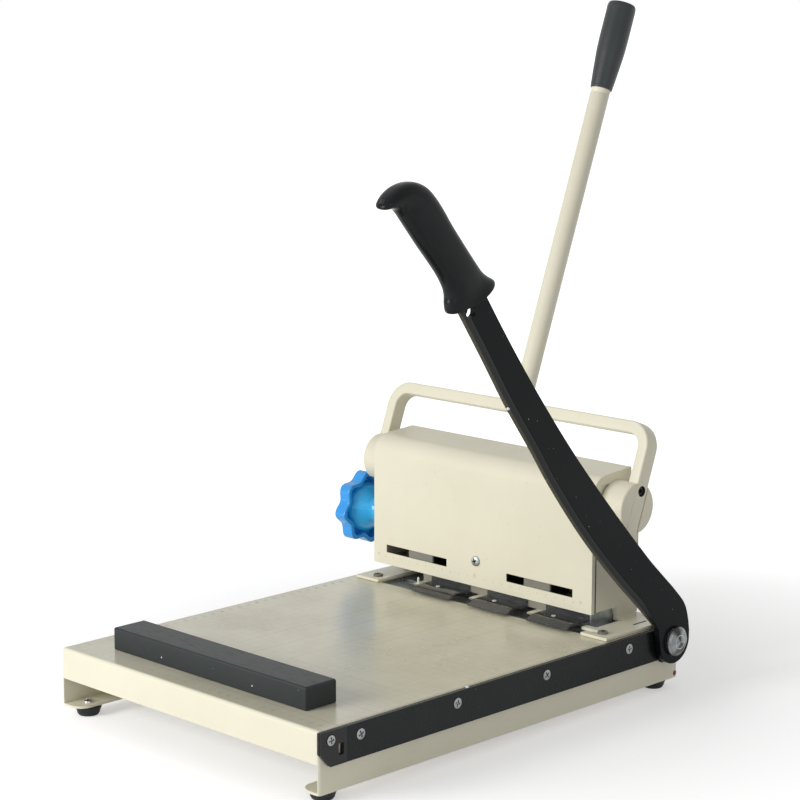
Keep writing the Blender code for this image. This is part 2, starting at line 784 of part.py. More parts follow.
def make_blade_arm():
    full, ground = blade_outlines()
    loops = []
    for outline, x in (
            (full, blade_inner_x), (full, blade_inner_x + blade_edge_land), (ground, blade_outer_x)):
        loops.append([on_blade(along, across, x) for along, across in outline])
    arm = loft(loops)
    eye = rod("X", (pivot_y, pivot_z), pivot_bolt_radius + seat_gap, blade_inner_x - overrun, blade_outer_x + overrun)
    hang_place = on_blade(blade_length * blade_hole_share, blade_hole_n, 0)[1:]
    hang_hole = rod("X", hang_place, blade_hole_radius, blade_inner_x - overrun, blade_outer_x + overrun, small_sides)
    piece("blade_arm", cut(arm, eye, hang_hole), "black paint", "blade")

    middle_x = (blade_inner_x + blade_outer_x) / 2
    handle_start = blade_length * handle_start_share
    outline = [
        (handle_start + along * handle_length, across * handle_breadth) for along, across in handle_shares]
    loops = []
    for x in (middle_x - handle_thickness / 2, middle_x + handle_thickness / 2):
        loops.append([on_blade(along, across, x) for along, across in outline])
    handle = loft(loops)
    round_edges(handle, lambda edge: len(edge.verts[0].link_edges) == 3 and
                abs(edge.verts[0].co.x - edge.verts[1].co.x) < seat_gap, handle_round, 2)
    socket_low = tang_low - seat_gap
    socket_high = tang_high + seat_gap
    socket_end = tang_length + seat_gap
    socket_start = blade_length * blade_end_shares[1][0] - overrun * 2
    socket_outline = [
        (socket_start, socket_low), (socket_end, socket_low), (socket_end, socket_high), (socket_start, socket_high)]
    socket = loft([
        [on_blade(along, across, x) for along, across in socket_outline]
        for x in (blade_inner_x - seat_gap, blade_outer_x + seat_gap)])
    piece("arm_handle", cut(handle, socket), "black plastic", "blade", 50)


def make_paper_stop():
    floor = deck + seat_gap
    block = box(
        (stop_left, stop_front, floor), (stop_left + stop_length, stop_front + stop_depth, floor + stop_height))
    round_edges(block, lambda edge: max(vert.co.z for vert in edge.verts) > floor + stop_height / 2,
                stop_edge_round, 2)
    piece("paper_stop", block, "dark block", "paper_stop")


def plate_outline():
    """Side plate in side view: upright front edge, notch over the deck at the lower front."""
    notch_top = cover_bottom + seat_gap
    return [
        (plate_front, notch_top), (notch_rear, notch_top), (notch_rear, plate_bottom), (plate_rear, plate_bottom),
        (plate_rear, plate_top - plate_chamfer_z), (plate_rear - plate_chamfer_y, plate_top),
        (plate_front + plate_front_chamfer, plate_top), (plate_front, plate_top - plate_front_chamfer)]


def make_side_plates():
    holes_through = []
    for center, radius in (((shaft_y, shaft_z), shaft_radius), ((spindle_y, spindle_z), spindle_radius)):
        holes_through.append(lambda low, high, center=center, radius=radius: rod(
            "X", center, radius + seat_gap, low - overrun, high + overrun))
    feet = {
        "left": [
            (left_foot_outer, foot_front), (left_foot_inner, foot_front), (left_foot_inner, plate_rear),
            (head_center - plate_outer_half, plate_rear), (head_center - plate_outer_half, notch_rear + overrun),
            (left_foot_outer, notch_rear + overrun)],
        "right": [
            (right_foot_inner, foot_front), (right_foot_outer, foot_front), (right_foot_outer, plate_rear),
            (head_center + plate_inner_half, plate_rear), (head_center + plate_inner_half, notch_rear),
            (right_foot_inner, notch_rear), (right_foot_inner, head_screw_front + foot_slot_width / 2 + prong_width),
            (right_foot_inner - prong_reach, head_screw_front + foot_slot_width / 2 + prong_width),
            (right_foot_inner - prong_reach, head_screw_front + foot_slot_width / 2),
            (right_foot_inner, head_screw_front + foot_slot_width / 2)],
    }
    for side, name in ((-1, "left"), (1, "right")):
        ends = sorted((head_center + side * plate_inner_half, head_center + side * plate_outer_half))
        plate = prism(plate_outline(), "X", ends[0], ends[1])
        foot = prism(feet[name], "Z", plate_bottom, foot_plate_top)
        plate = united(plate, foot)
        tools = [make_hole(ends[0], ends[1]) for make_hole in holes_through]
        for place in head_screw_places:
            if (place[0] - head_center) * side > 0:
                tools.append(rod(
                    "Z", place, head_screw_radius + seat_gap, plate_bottom - overrun, foot_plate_top + overrun,
                    small_sides))
        if name == "right":
            tools.append(box(
                (right_foot_inner - overrun, head_screw_front - foot_slot_width / 2, plate_bottom - overrun),
                (right_head_screw_x, head_screw_front + foot_slot_width / 2, foot_plate_top + overrun)))
        piece("side_plate_" + name, cut(plate, *tools), "cream paint")

    head_floor = foot_plate_top + seat_gap
    for place, name in zip(head_screw_places, ("left", "right")):
        screw = turned((
            (deck - base_sheet - die_bar_height, head_screw_radius),
            (head_floor, head_screw_radius),
            (head_floor, head_screw_head_radius),
            (head_floor + head_screw_head_height * screw_crown_share, head_screw_head_radius * dome_shoulder_share),
            (head_floor + head_screw_head_height, head_screw_head_radius * dome_crown_share)), "Z", place,
            small_sides)
        piece("head_screw_" + name, screw, "zinc")


def cover_outline(inset, floor, rear):
    """The casing's side view, drawn inwards by an inset: upright front, rounded fold, rising top."""
    front = cover_front + inset
    corner = (cover_front + cover_corner_radius, cover_top - cover_corner_radius)
    radius = cover_corner_radius - inset
    outline = [(front, floor)]
    outline += arc(corner, radius, math.pi, math.pi / 2, cover_corner_segments)
    outline += [(rear, cover_top + cover_rise - inset), (rear, floor)]
    return outline


def make_head_cover():
    left = head_center - head_width / 2
    right = head_center + head_width / 2
    shell = prism(cover_outline(0, cover_bottom, cover_rear), "X", left, right)
    hollow = prism(
        cover_outline(cover_sheet, cover_bottom - overrun, cover_rear + overrun), "X",
        left + cover_sheet, right - cover_sheet)
    open_end = [
        (cover_front + cover_front_return, cover_bottom - overrun),
        (cover_front + cover_front_return, cover_top - cover_corner_radius),
        (cover_front + cover_corner_radius * fold_share, cover_top - cover_top_return),
        (cover_rear + overrun, cover_top - cover_top_return),
        (cover_rear + overrun, cover_bottom - overrun)]
    ends = prism(open_end, "X", left - overrun, right + overrun)
    slots = []
    slot_low = cover_bottom + slot_rise
    for side in (-1, 1):
        edges = sorted((scale_center + side * slot_near, scale_center + side * slot_far))
        slots.append(box(
            (edges[0], cover_front - overrun, slot_low),
            (edges[1], cover_front + overrun, slot_low + slot_height)))
    screw_place = (scale_center, cover_bottom + cover_screw_rise)
    screw_hole = rod(
        "Y", screw_place, cover_screw_radius + seat_gap, cover_front - overrun, cover_front + overrun, small_sides)
    piece("head_cover", cut(shell, hollow, ends, *slots, screw_hole), "cream paint")

    rear_low = foot_plate_top + seat_gap
    sheet_line = [
        (plate_rear, rear_low), (plate_rear, plate_top - plate_chamfer_z),
        (plate_rear - plate_chamfer_y * slope_share, plate_top - plate_chamfer_z * (1 - slope_share))]
    near = [(y + seat_gap, z) for y, z in sheet_line]
    far = [
        (y + seat_gap + cover_sheet, z + (cover_sheet / 2 if index else 0)) for index, (y, z) in
        enumerate(sheet_line)]
    rear = prism(near + far[::-1], "X", head_center - plate_outer_half, head_center + plate_outer_half)
    piece("rear_cover", rear, "cream paint")

    head_low = cover_front - seat_gap
    screw = turned((
        (head_low - cover_screw_head_height, cover_screw_head_radius * dome_crown_share),
        (head_low - cover_screw_head_height * dome_crown_share, cover_screw_head_radius * dome_shoulder_share),
        (head_low, cover_screw_head_radius),
        (head_low, cover_screw_radius),
        (guide_front + cover_screw_reach, cover_screw_radius)), "Y", screw_place, small_sides)
    piece("cover_screw", screw, "zinc")


def pinion_outline():
    """Involute teeth about the shaft, one of them pointing at the rack."""
    base_radius = pitch_radius * math.cos(pressure_angle)
    outer_radius = pitch_radius + tooth_addendum
    root_radius = pitch_radius - tooth_dedendum
    half_pitch_angle = (math.pi * tooth_module / 2 - backlash) / 2 / pitch_radius
    flare = math.tan(pressure_angle) - pressure_angle
    points = []
    for tooth in range(pinion_teeth):
        middle = math.pi + math.tau * tooth / pinion_teeth
        flank = [(root_radius, half_pitch_angle + flare)]
        for step in range(4):
            radius = base_radius + (outer_radius - base_radius) * step / 3
            roll = math.sqrt(max((radius / base_radius) ** 2 - 1, 0))
            flank.append((radius, half_pitch_angle + flare - (roll - math.atan(roll))))
        for radius, half in flank:
            points.append((radius, middle - half))
        for radius, half in flank[::-1]:
            points.append((radius, middle + half))
    return [
        (shaft_y + radius * math.cos(angle), shaft_z + radius * math.sin(angle)) for radius, angle in points]


def rack_outline():
    """A bar with straight-sided teeth towards the shaft, with a gap level with the shaft's axis."""
    pitch = math.pi * tooth_module
    pitch_line = shaft_y - pitch_radius
    root = pitch_line - tooth_dedendum
    tip = pitch_line + tooth_addendum
    low = beam_top + seat_gap
    high = low + rack_height
    quarter = pitch / 4 - backlash / 4
    outline = [(root - rack_body_depth, low), (root, low)]
    first_tooth = math.ceil((low - shaft_z) / pitch - 0.5 + 0.5)
    last_tooth = math.floor((high - shaft_z) / pitch - 1.0)
    for tooth in range(first_tooth, last_tooth + 1):
        middle = shaft_z + (tooth + 0.5) * pitch
        root_half = quarter + tooth_dedendum * math.tan(pressure_angle)
        tip_half = quarter - tooth_addendum * math.tan(pressure_angle)
        outline += [
            (root, middle - root_half), (tip, middle - tip_half), (tip, middle + tip_half),
            (root, middle + root_half)]
    outline += [(root, high), (root - rack_body_depth, high)]
    return outline


def make_lever_shaft():
    center = (shaft_y, shaft_z)
    end = hub_outer_half - bar_thickness - seat_gap * 2
    shaft = rod("X", center, shaft_radius, head_center - end, head_center + end)
    pinions = []
    for side in (-1, 1):
        middle = head_center + side * pinion_offset
        pinions.append(prism(pinion_outline(), "X", middle - pinion_width / 2, middle + pinion_width / 2))
    piece("lever_shaft", united(shaft, *pinions), "steel", "lever")

def leaned(mesh):
    """Lean a mesh that was built upright over the shaft back to the lever's rest."""
    bmesh.ops.rotate(
        mesh, cent=Vector((head_center, shaft_y, shaft_z)), matrix=Matrix.Rotation(-lever_lean, 3, "X"),
        verts=mesh.verts)
    return mesh


def make_lever():
    center = (shaft_y, shaft_z)
    outer = hub_outer_half
    screw_z = shaft_z + hub_screw_reach
    for side, name in ((-1, "left"), (1, "right")):
        face = head_center + side * outer
        back = head_center + side * hub_inner_half
        rim = face - side * hub_chamfer
        boss = head_center + side * (plate_outer_half + running_gap)
        steps = [
            (boss, hub_boss_radius), (back, hub_boss_radius), (back, hub_radius), (rim, hub_radius),
            (face, hub_radius - hub_chamfer)]
        hub = turned(steps if side > 0 else steps[::-1], "X", center, hub_sides)
        slot_floor = face - side * (bar_thickness + seat_gap)
        slot_ends = sorted((slot_floor, face + side * overrun))
        half = bar_width / 2 + seat_gap
        slot = box(
            (slot_ends[0], shaft_y - half, shaft_z - hub_radius - overrun),
            (slot_ends[1], shaft_y + half, shaft_z + hub_radius + overrun))
        bore_ends = sorted((boss - side * overrun, slot_floor + side * overrun))
        bore = rod("X", center, shaft_radius + seat_gap, bore_ends[0], bore_ends[1])
        thread_end = face - side * (hub_screw_length + seat_gap)
        thread_ends = sorted((thread_end, face))
        thread = rod("X", (shaft_y, screw_z), hub_screw_radius + seat_gap, thread_ends[0], thread_ends[1], small_sides)
        piece("hub_" + name, leaned(cut(hub, slot, bore, thread)), "cream paint", "lever")
        head_inner = face - side * hub_screw_head_height
        tip = face - side * hub_screw_length
        steps = [
            (tip, hub_screw_radius), (head_inner, hub_screw_radius), (head_inner, hub_screw_head_radius),
            (face, hub_screw_head_radius)]
        screw = turned(steps if side > 0 else steps[::-1], "X", (shaft_y, screw_z), small_sides)
        piece("hub_screw_" + name, leaned(screw), "black steel", "lever")

    top = shaft_z + crossbar_reach + bar_thickness / 2
    low = shaft_z - math.sqrt(hub_radius ** 2 - (bar_width / 2) ** 2)
    left = head_center - outer
    right = head_center + outer
    inner_radius = frame_bend_radius - bar_thickness
    corner_z = top - frame_bend_radius
    outline = [(left, low)]
    outline += arc((left + frame_bend_radius, corner_z), frame_bend_radius, math.pi, math.pi / 2, frame_bend_segments)
    outline += arc((right - frame_bend_radius, corner_z), frame_bend_radius, math.pi / 2, 0, frame_bend_segments)
    outline += [(right, low), (right - bar_thickness, low)]
    outline += arc((right - frame_bend_radius, corner_z), inner_radius, 0, math.pi / 2, frame_bend_segments)
    outline += arc((left + frame_bend_radius, corner_z), inner_radius, math.pi / 2, math.pi, frame_bend_segments)
    outline += [(left + bar_thickness, low)]
    frame = prism(outline, "Y", shaft_y - bar_width / 2, shaft_y + bar_width / 2)
    round_edges(
        frame, lambda edge: abs(edge.verts[0].co.y - edge.verts[1].co.y) < seat_gap, bar_edge_round, 1)
    spigot_hole = rod("Z", (head_center, shaft_y), lever_spigot_radius + seat_gap, top - bar_thickness - overrun,
                      top + overrun)
    tools = [spigot_hole]
    for side in (-1, 1):
        face = head_center + side * outer
        inner = face - side * (bar_thickness + overrun)
        counterbore_floor = face - side * (hub_screw_head_height + seat_gap)
        shank_ends = sorted((inner, face))
        bore_ends = sorted((counterbore_floor, face + side * overrun))
        tools.append(rod("X", (shaft_y, screw_z), hub_screw_radius + seat_gap, shank_ends[0], shank_ends[1],
                         small_sides))
        tools.append(rod("X", (shaft_y, screw_z), hub_screw_head_radius + seat_gap, bore_ends[0], bore_ends[1],
                         small_sides))
    piece("lever_frame", leaned(cut(frame, *tools)), "cream paint", "lever")

    shoulder = top + seat_gap
    tube = turned((
        (top - bar_thickness, lever_spigot_radius), (shoulder, lever_spigot_radius), (shoulder, lever_radius),
        (shaft_z + lever_top, lever_radius)), "Z", (head_center, shaft_y))
    piece("lever_tube", leaned(tube), "cream paint", "lever")

    grip_length = grip_top - grip_bottom
    profile = [
        (shaft_z + grip_bottom + along * grip_length, width * grip_radius) for along, width in grip_profile_shares]
    grip = turned(profile, "Z", (head_center, shaft_y))
    socket = rod(
        "Z", (head_center, shaft_y), lever_radius + seat_gap, shaft_z + grip_bottom - overrun,
        shaft_z + lever_top + seat_gap)
    piece("lever_grip", leaned(cut(grip, socket)), "rubber", "lever", 50)


def make_punch_beam():
    front = punch_y - beam_depth / 2
    rear = punch_y + beam_depth / 2
    beam = box(
        (head_center - beam_half_length, front, beam_bottom), (head_center + beam_half_length, rear, beam_top))
    loose_head = punch_head_radius + seat_gap
    loose_neck = punch_radius + seat_gap
    cavity_low = beam_bottom + neck_height
    cavity_high = cavity_low + head_height + seat_gap * 2
    spans = [(-hole_offset - travel_out, -hole_offset + travel_in), (0, 0), (hole_offset - travel_in,
                                                                             hole_offset + travel_out)]
    tools = []
    for low, high in spans:
        tools.append(box(
            (scale_center + low - loose_neck, punch_y - loose_neck, beam_bottom - overrun),
            (scale_center + high + loose_neck, punch_y + loose_neck, cavity_low + seat_gap)))
        tools.append(box(
            (scale_center + low - loose_head, punch_y - loose_head, cavity_low),
            (scale_center + high + loose_head, punch_y + loose_head, cavity_high)))
    for place in column_places:
        tools.append(rod("Z", place, column_radius + seat_gap, beam_bottom - overrun, beam_top + overrun, small_sides))
    piece("punch_beam", cut(beam, *tools), "steel", "punch_beam")

    for side, name in ((-1, "left"), (1, "right")):
        middle = head_center + side * pinion_offset
        half = pinion_width / 2 - seat_gap
        piece("rack_" + name, prism(rack_outline(), "X", middle - half, middle + half), "steel", "punch_beam")

    column_low = carrier_floor + center_block_height - column_socket_depth + seat_gap
    column_high = deck + column_top_rise
    cap_low = beam_top + seat_gap
    for place, name in zip(column_places, ("left", "right")):
        column = turned((
            (column_low, column_radius), (cap_low, column_radius), (cap_low, column_cap_radius),
            (cap_low + column_cap_height, column_cap_radius), (cap_low + column_cap_height, column_radius),
            (column_high, column_radius)), "Z", place, small_sides)
        piece("guide_column_" + name, column, "chrome")

    spring_low = carrier_floor + center_block_height + seat_gap + spring_wire_radius
    spring_high = beam_bottom - seat_gap - spring_wire_radius
    for place, name in zip(column_places, ("left", "right")):
        piece("return_spring_" + name, coil(place, spring_low, spring_high), "steel")


def coil(place, low, high):
    """A helical spring: one tube whose middle climbs evenly round the column."""
    mean_radius = column_radius + spring_clearance + spring_wire_radius
    steps = spring_turns * spring_points_per_turn
    rise = high - low
    slope = math.atan2(rise, math.tau * mean_radius * spring_turns)
    loops = []
    for index in range(steps + 1):
        share = index / steps
        angle = math.tau * spring_turns * share
        outward = Vector((math.cos(angle), math.sin(angle), 0))
        upward = Vector((math.sin(angle) * math.sin(slope), -math.cos(angle) * math.sin(slope), math.cos(slope)))
        middle = Vector((place[0], place[1], low + rise * share)) + outward * mean_radius
        loop = []
        for side in range(spring_sides):
            turn = math.tau * side / spring_sides
            loop.append(middle + (outward * math.cos(turn) + upward * math.sin(turn)) * spring_wire_radius)
        loops.append(loop)
    return loft(loops)


def make_punches():
    tip = deck + punch_tip_rise
    head_low = beam_bottom + neck_height + seat_gap * 2
    for step, name in ((-1, "left"), (0, "centre"), (1, "right")):
        place = (scale_center + step * hole_offset, punch_y)
        punch = turned((
            (tip, (punch_bore_radius + punch_radius) / 2), (tip + punch_bevel, punch_radius), (head_low, punch_radius),
            (head_low, punch_head_radius), (head_low + head_height - seat_gap, punch_head_radius)), "Z", place,
            small_sides)
        bore = rod("Z", place, punch_bore_radius, tip - overrun, tip + punch_bore_depth, small_sides)
        piece("punch_" + name, cut(punch, bore), "steel", "punch_" + name)


def make_guide_plate():
    plate = box(
        (head_center - plate_inner_half + seat_gap, guide_front, guide_bottom),
        (head_center + plate_inner_half - seat_gap, guide_plate_rear, guide_top))
    loose = punch_radius + running_gap
    tools = []
    for low, high in (
            (-hole_offset - travel_out, -hole_offset + travel_in), (0, 0),
            (hole_offset - travel_in, hole_offset + travel_out)):
        tools.append(box(
            (scale_center + low - loose, punch_y - loose, guide_bottom - overrun),
            (scale_center + high + loose, punch_y + loose, guide_top + overrun)))
    piece("guide_plate", cut(plate, *tools), "zinc")

    block = box(
        (scale_center - center_block_half_width, guide_front, carrier_floor),
        (scale_center + center_block_half_width, block_rear, carrier_floor + center_block_height))
    top = carrier_floor + center_block_height
    tools = [rod("Z", (scale_center, punch_y), punch_radius + seat_gap, carrier_floor - overrun, top + overrun)]
    for place in column_places:
        tools.append(rod("Z", place, column_radius + seat_gap, top - column_socket_depth, top + overrun, small_sides))
    tools.append(rod(
        "Y", (scale_center, cover_bottom + cover_screw_rise), cover_screw_radius + seat_gap,
        guide_front - overrun, guide_front + overrun + seat_gap, small_sides))
    piece("centre_block", cut(block, *tools), "black steel")


def make_carriers():
    front_rear = punch_y + beam_depth / 2 + seat_gap
    for side, name in ((-1, "left"), (1, "right")):
        middle = scale_center + side * hole_offset
        low_part = box(
            (middle - carrier_half_width, carrier_front, carrier_floor),
            (middle + carrier_half_width, block_rear, carrier_floor + carrier_front_height))
        tall_part = box(
            (middle - carrier_half_width, front_rear, carrier_floor + carrier_front_height / 2),
            (middle + carrier_half_width, block_rear, carrier_floor + carrier_height))
        spindle_bore = rod(
            "X", (spindle_y, spindle_z), spindle_radius + running_gap, middle - carrier_half_width - overrun,
            middle + carrier_half_width + overrun)
        punch_bore = rod(
            "Z", (middle, punch_y), punch_radius + seat_gap, carrier_floor - overrun,
            carrier_floor + carrier_front_height + overrun, small_sides)
        body = "carrier_" + name
        piece(body, cut(united(low_part, tall_part), spindle_bore, punch_bore), "black steel", body)
        slot_middle = cover_bottom + slot_rise + slot_height / 2
        pointer = box(
            (middle - pointer_half_width, pointer_front, slot_middle - pointer_height / 2),
            (middle + pointer_half_width, pointer_front + pointer_thickness, slot_middle + pointer_height / 2))
        piece("pointer_" + name, pointer, "clear plastic", body)


def star_outline(shrink):
    """The knob's wavy rim: a circle whose radius swells once for each lobe."""
    count = knob_lobes * knob_points_per_lobe
    outline = []
    for index in range(count):
        angle = math.tau * index / count
        radius = knob_mean_radius + knob_wave * math.cos(knob_lobes * (angle - knob_phase)) - shrink
        outline.append((spindle_y + radius * math.cos(angle), spindle_z + radius * math.sin(angle)))
    return outline


def make_spindle():
    center = (spindle_y, spindle_z)
    plate_left_outer = head_center - plate_outer_half
    plate_left_inner = head_center - plate_inner_half
    start = plate_left_outer - running_gap - knob_socket_depth + seat_gap
    end = head_center + plate_outer_half
    shank = rod("X", center, spindle_radius, start, end)
    collar_low = plate_left_inner + running_gap
    collar = rod("X", center, spindle_collar_radius, collar_low, collar_low + spindle_collar_width)
    piece("spacing_spindle", united(shank, collar), "steel", "spindle")

    rim_inner_x = knob_outer_x + knob_rim_width
    rim = prism(star_outline(0), "X", knob_outer_x, rim_inner_x)
    round_edges(
        rim, lambda edge: abs(edge.verts[0].co.x - edge.verts[1].co.x) < seat_gap, bend_radius / 2, 2)
    recess = prism(star_outline(knob_wall), "X", knob_outer_x + knob_web, rim_inner_x + overrun)
    dome_low = knob_outer_x + knob_web / 2
    dome_length = plate_left_outer - running_gap - dome_low
    dome = turned([
        (dome_low + along * dome_length, width * knob_dome_radius) for along, width in knob_dome_shares], "X", center)
    socket = rod("X", center, spindle_radius + seat_gap, start - seat_gap, plate_left_outer + overrun)
    piece("spacing_knob", cut(united(cut(rim, recess), dome), socket), "blue plastic", "spindle", 50)


def make_die():
    top = deck - base_sheet - seat_gap
    low = top - die_bar_height
    bar = box(
        (window_left - die_bar_margin_x, window_front - die_bar_front_margin, low),
        (window_right + die_bar_margin_x, window_rear + die_bar_rear_margin, top))
    groove = box(
        (scale_center - pad_half_length, punch_y - pad_half_width, top - pad_groove_depth),
        (scale_center + pad_half_length, punch_y + pad_half_width, top + overrun))
    holes = [
        rod("Z", place, head_screw_radius + seat_gap, low - overrun, top + overrun, small_sides)
        for place in head_screw_places]
    piece("die_bar", cut(bar, groove, *holes), "zinc")
    pad_top = deck + punch_tip_rise - punch_stroke - seat_gap
    pad = box(
        (scale_center - pad_half_length + seat_gap, punch_y - pad_half_width + seat_gap,
         top - pad_groove_depth + seat_gap),
        (scale_center + pad_half_length - seat_gap, punch_y + pad_half_width - seat_gap, pad_top))
    piece("cutting_pad", pad, "pad plastic")

    for side, floor, front, back, name in (
            (-1, foot_plate_top + seat_gap, left_block_front, left_block_back, "left"),
            (1, top + seat_gap, block_front, block_back, "right")):
        edges = sorted((
            head_center + side * (plate_inner_half - seat_gap),
            head_center + side * (plate_inner_half - seat_gap - block_width)))
        block = box((edges[0], front, floor), (edges[1], back, guide_bottom - seat_gap))
        piece("head_block_" + name, block, "zinc")


def make_guards():
    lip = deck + guard_lip_rise
    flat = deck + guard_flat_rise
    slope_rear = guard_front + guard_slope_length
    flange_front = guard_flange_rear - guard_sheet
    outline = [
        (guard_front, lip), (guard_front + guard_sheet, lip), (slope_rear, flat), (guard_flange_rear, flat),
        (guard_flange_rear, guide_bottom - seat_gap), (flange_front, guide_bottom - seat_gap),
        (flange_front, flat + guard_sheet), (slope_rear - guard_sheet / 2, flat + guard_sheet),
        (guard_front, lip + guard_sheet / 2)]
    tab_low = deck + tab_rise
    tab_high = tab_low + tab_thickness
    post_front = guard_flange_rear + seat_gap
    post_rear = post_front + tab_thickness
    tab_outline = [
        (tab_front, tab_low), (post_rear, tab_low), (post_rear, guide_bottom - seat_gap),
        (post_front, guide_bottom - seat_gap), (post_front, tab_high), (tab_front, tab_high)]
    hole_low = tab_low - overrun
    hole_high = flat + guard_sheet + overrun
    strip_low = deck + guard_flat_rise
    strip = box(
        (guard_lefts[0] - tab_left_reach, post_front, strip_low),
        (guard_lefts[-1] - tab_left_reach + tab_width, post_rear, guide_bottom - seat_gap))
    tabs = []
    for left, place, name in zip(guard_lefts, guard_screw_places, guard_names):
        hole = rod("Z", place, guard_screw_radius + seat_gap, hole_low, hole_high, small_sides)
        piece("guard_" + name, cut(prism(outline, "X", left, left + guard_width), hole), "smoked plastic")
        tab_left = left - tab_left_reach
        tabs.append(cut(prism(tab_outline, "X", tab_left, tab_left + tab_width), hole))
    piece("guard_bracket", united(strip, *tabs), "cream paint")


make_base_tray()
make_feet()
make_knife_rail()
make_rail_screws()
make_blade_pivot()
make_blade_arm()
make_paper_stop()
make_side_plates()
make_head_cover()
make_lever_shaft()
make_lever()
make_punch_beam()
make_punches()
make_guide_plate()
make_carriers()
make_spindle()
make_die()
make_guards()
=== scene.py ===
import json
import math

import bmesh
import bpy
import numpy as np
from mathutils import Matrix, Vector


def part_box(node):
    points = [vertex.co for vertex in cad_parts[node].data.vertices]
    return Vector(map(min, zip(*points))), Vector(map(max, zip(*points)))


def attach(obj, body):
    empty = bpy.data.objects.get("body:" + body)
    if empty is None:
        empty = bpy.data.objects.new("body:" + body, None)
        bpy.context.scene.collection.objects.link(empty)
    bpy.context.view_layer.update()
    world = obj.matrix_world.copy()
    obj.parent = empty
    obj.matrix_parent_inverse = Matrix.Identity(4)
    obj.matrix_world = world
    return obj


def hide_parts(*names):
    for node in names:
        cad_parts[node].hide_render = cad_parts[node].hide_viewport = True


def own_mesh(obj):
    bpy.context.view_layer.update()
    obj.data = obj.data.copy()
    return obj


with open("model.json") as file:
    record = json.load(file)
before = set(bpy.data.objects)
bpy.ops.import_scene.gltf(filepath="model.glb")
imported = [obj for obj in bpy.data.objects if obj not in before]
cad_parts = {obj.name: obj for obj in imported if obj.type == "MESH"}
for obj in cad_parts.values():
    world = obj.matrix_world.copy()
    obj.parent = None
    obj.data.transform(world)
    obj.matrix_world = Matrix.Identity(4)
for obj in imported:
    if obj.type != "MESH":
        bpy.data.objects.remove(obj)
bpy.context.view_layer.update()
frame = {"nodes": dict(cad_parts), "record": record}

bodyOf = {node: body for body, members in frame["record"]["behaviour"]["bodies"].items() for node in members}
slotOf = {part["node"]: part["material_slot"] for part in frame["record"]["subparts"]}
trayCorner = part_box("base_tray")[0]
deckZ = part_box("base_tray")[1].z
print("frame loaded:", len(frame["nodes"]), "nodes")


def onMachine(x, y, z):
    # a place measured from the tray's front left corner and the floor, in metres
    return np.array([trayCorner.x + x, trayCorner.y + y, z])


# shader helpers

def isSocket(value):
    return isinstance(value, bpy.types.NodeSocket)


def setInputs(node, inputs):
    # an input is linked where a socket is given for it, and set where a value is given
    for key, value in inputs.items():
        if isSocket(value):
            node.id_data.links.new(value, node.inputs[key])
        else:
            node.inputs[key].default_value = value
    return node


def addNode(tree, kind, inputs, **settings):
    node = tree.nodes.new(kind)
    for key, value in settings.items():
        setattr(node, key, value)
    return setInputs(node, inputs)


def doMath(operation, first, *others):
    # the operation is carried along the list: a product of four values takes three nodes
    for other in others or (0.0,):
        tree = (first if isSocket(first) else other).id_data
        first = addNode(tree, "ShaderNodeMath", {0: first, 1: other}, operation=operation).outputs[0]
    return first


def doVector(operation, first, second=(0.0, 0.0, 0.0)):
    node = addNode(first.id_data, "ShaderNodeVectorMath", {0: first, 1: second}, operation=operation)
    return node.outputs["Value" if operation == "LENGTH" else "Vector"]


def splitPlace(place):
    return addNode(place.id_data, "ShaderNodeSeparateXYZ", {"Vector": place}).outputs


def addNoise(place, scale, detail, roughness=0.5):
    return addNode(place.id_data, "ShaderNodeTexNoise", {
        "Vector": place, "Scale": scale, "Detail": detail, "Roughness": roughness}).outputs[0]


def remap(value, low, high, newLow=0.0, newHigh=1.0):
    inputs = {"Value": value, "From Min": low, "From Max": high, "To Min": newLow, "To Max": newHigh}
    return addNode(value.id_data, "ShaderNodeMapRange", inputs).outputs["Result"]


def mixColor(share, first, second):
    # sockets 0, 6 and 7 are the share and the two colours
    first, second = (each if isSocket(each) else (*each, 1.0) for each in (first, second))
    return addNode(share.id_data, "ShaderNodeMix", {0: share, 6: first, 7: second}, data_type="RGBA").outputs[2]


def newGroup(name, inputs, outputs):
    group = bpy.data.node_groups.new(name, "ShaderNodeTree")
    for label, value in {"Vector": (0.0, 0.0, 0.0), **inputs}.items():
        kind = "NodeSocketFloat" if isinstance(value, float) else "NodeSocketVector"
        group.interface.new_socket(label, in_out="INPUT", socket_type=kind).default_value = value
    for label in outputs:
        group.interface.new_socket(label, in_out="OUTPUT", socket_type="NodeSocketFloat")
    return group.nodes.new("NodeGroupInput").outputs, group.nodes.new("NodeGroupOutput")


def makePaintSkin():
    # peel: fine unevenness; tone: slow change of shade; specks: dust; scuffs: rubbed patches
    given, result = newGroup(
        "paintSkin", {"Peel Scale": 900.0, "Tone Scale": 14.0, "Speck Scale": 420.0, "Speck Level": 0.76},
        ("Peel", "Tone", "Specks", "Scuffs"))
    place, level = given["Vector"], given["Speck Level"]
    stretched = addNode(place.id_data, "ShaderNodeMapping", {"Vector": place, "Scale": (60.0, 420.0, 240.0)})
    return setInputs(result, {
        "Peel": addNoise(place, given["Peel Scale"], 2.5),
        "Tone": addNoise(place, given["Tone Scale"], 4.0, 0.6),
        "Specks": remap(addNoise(place, given["Speck Scale"], 1.0), level, doMath("ADD", level, 0.03)),
        "Scuffs": remap(addNoise(stretched.outputs[0], 1.0, 5.0, 0.65), 0.52, 0.75)}).id_data


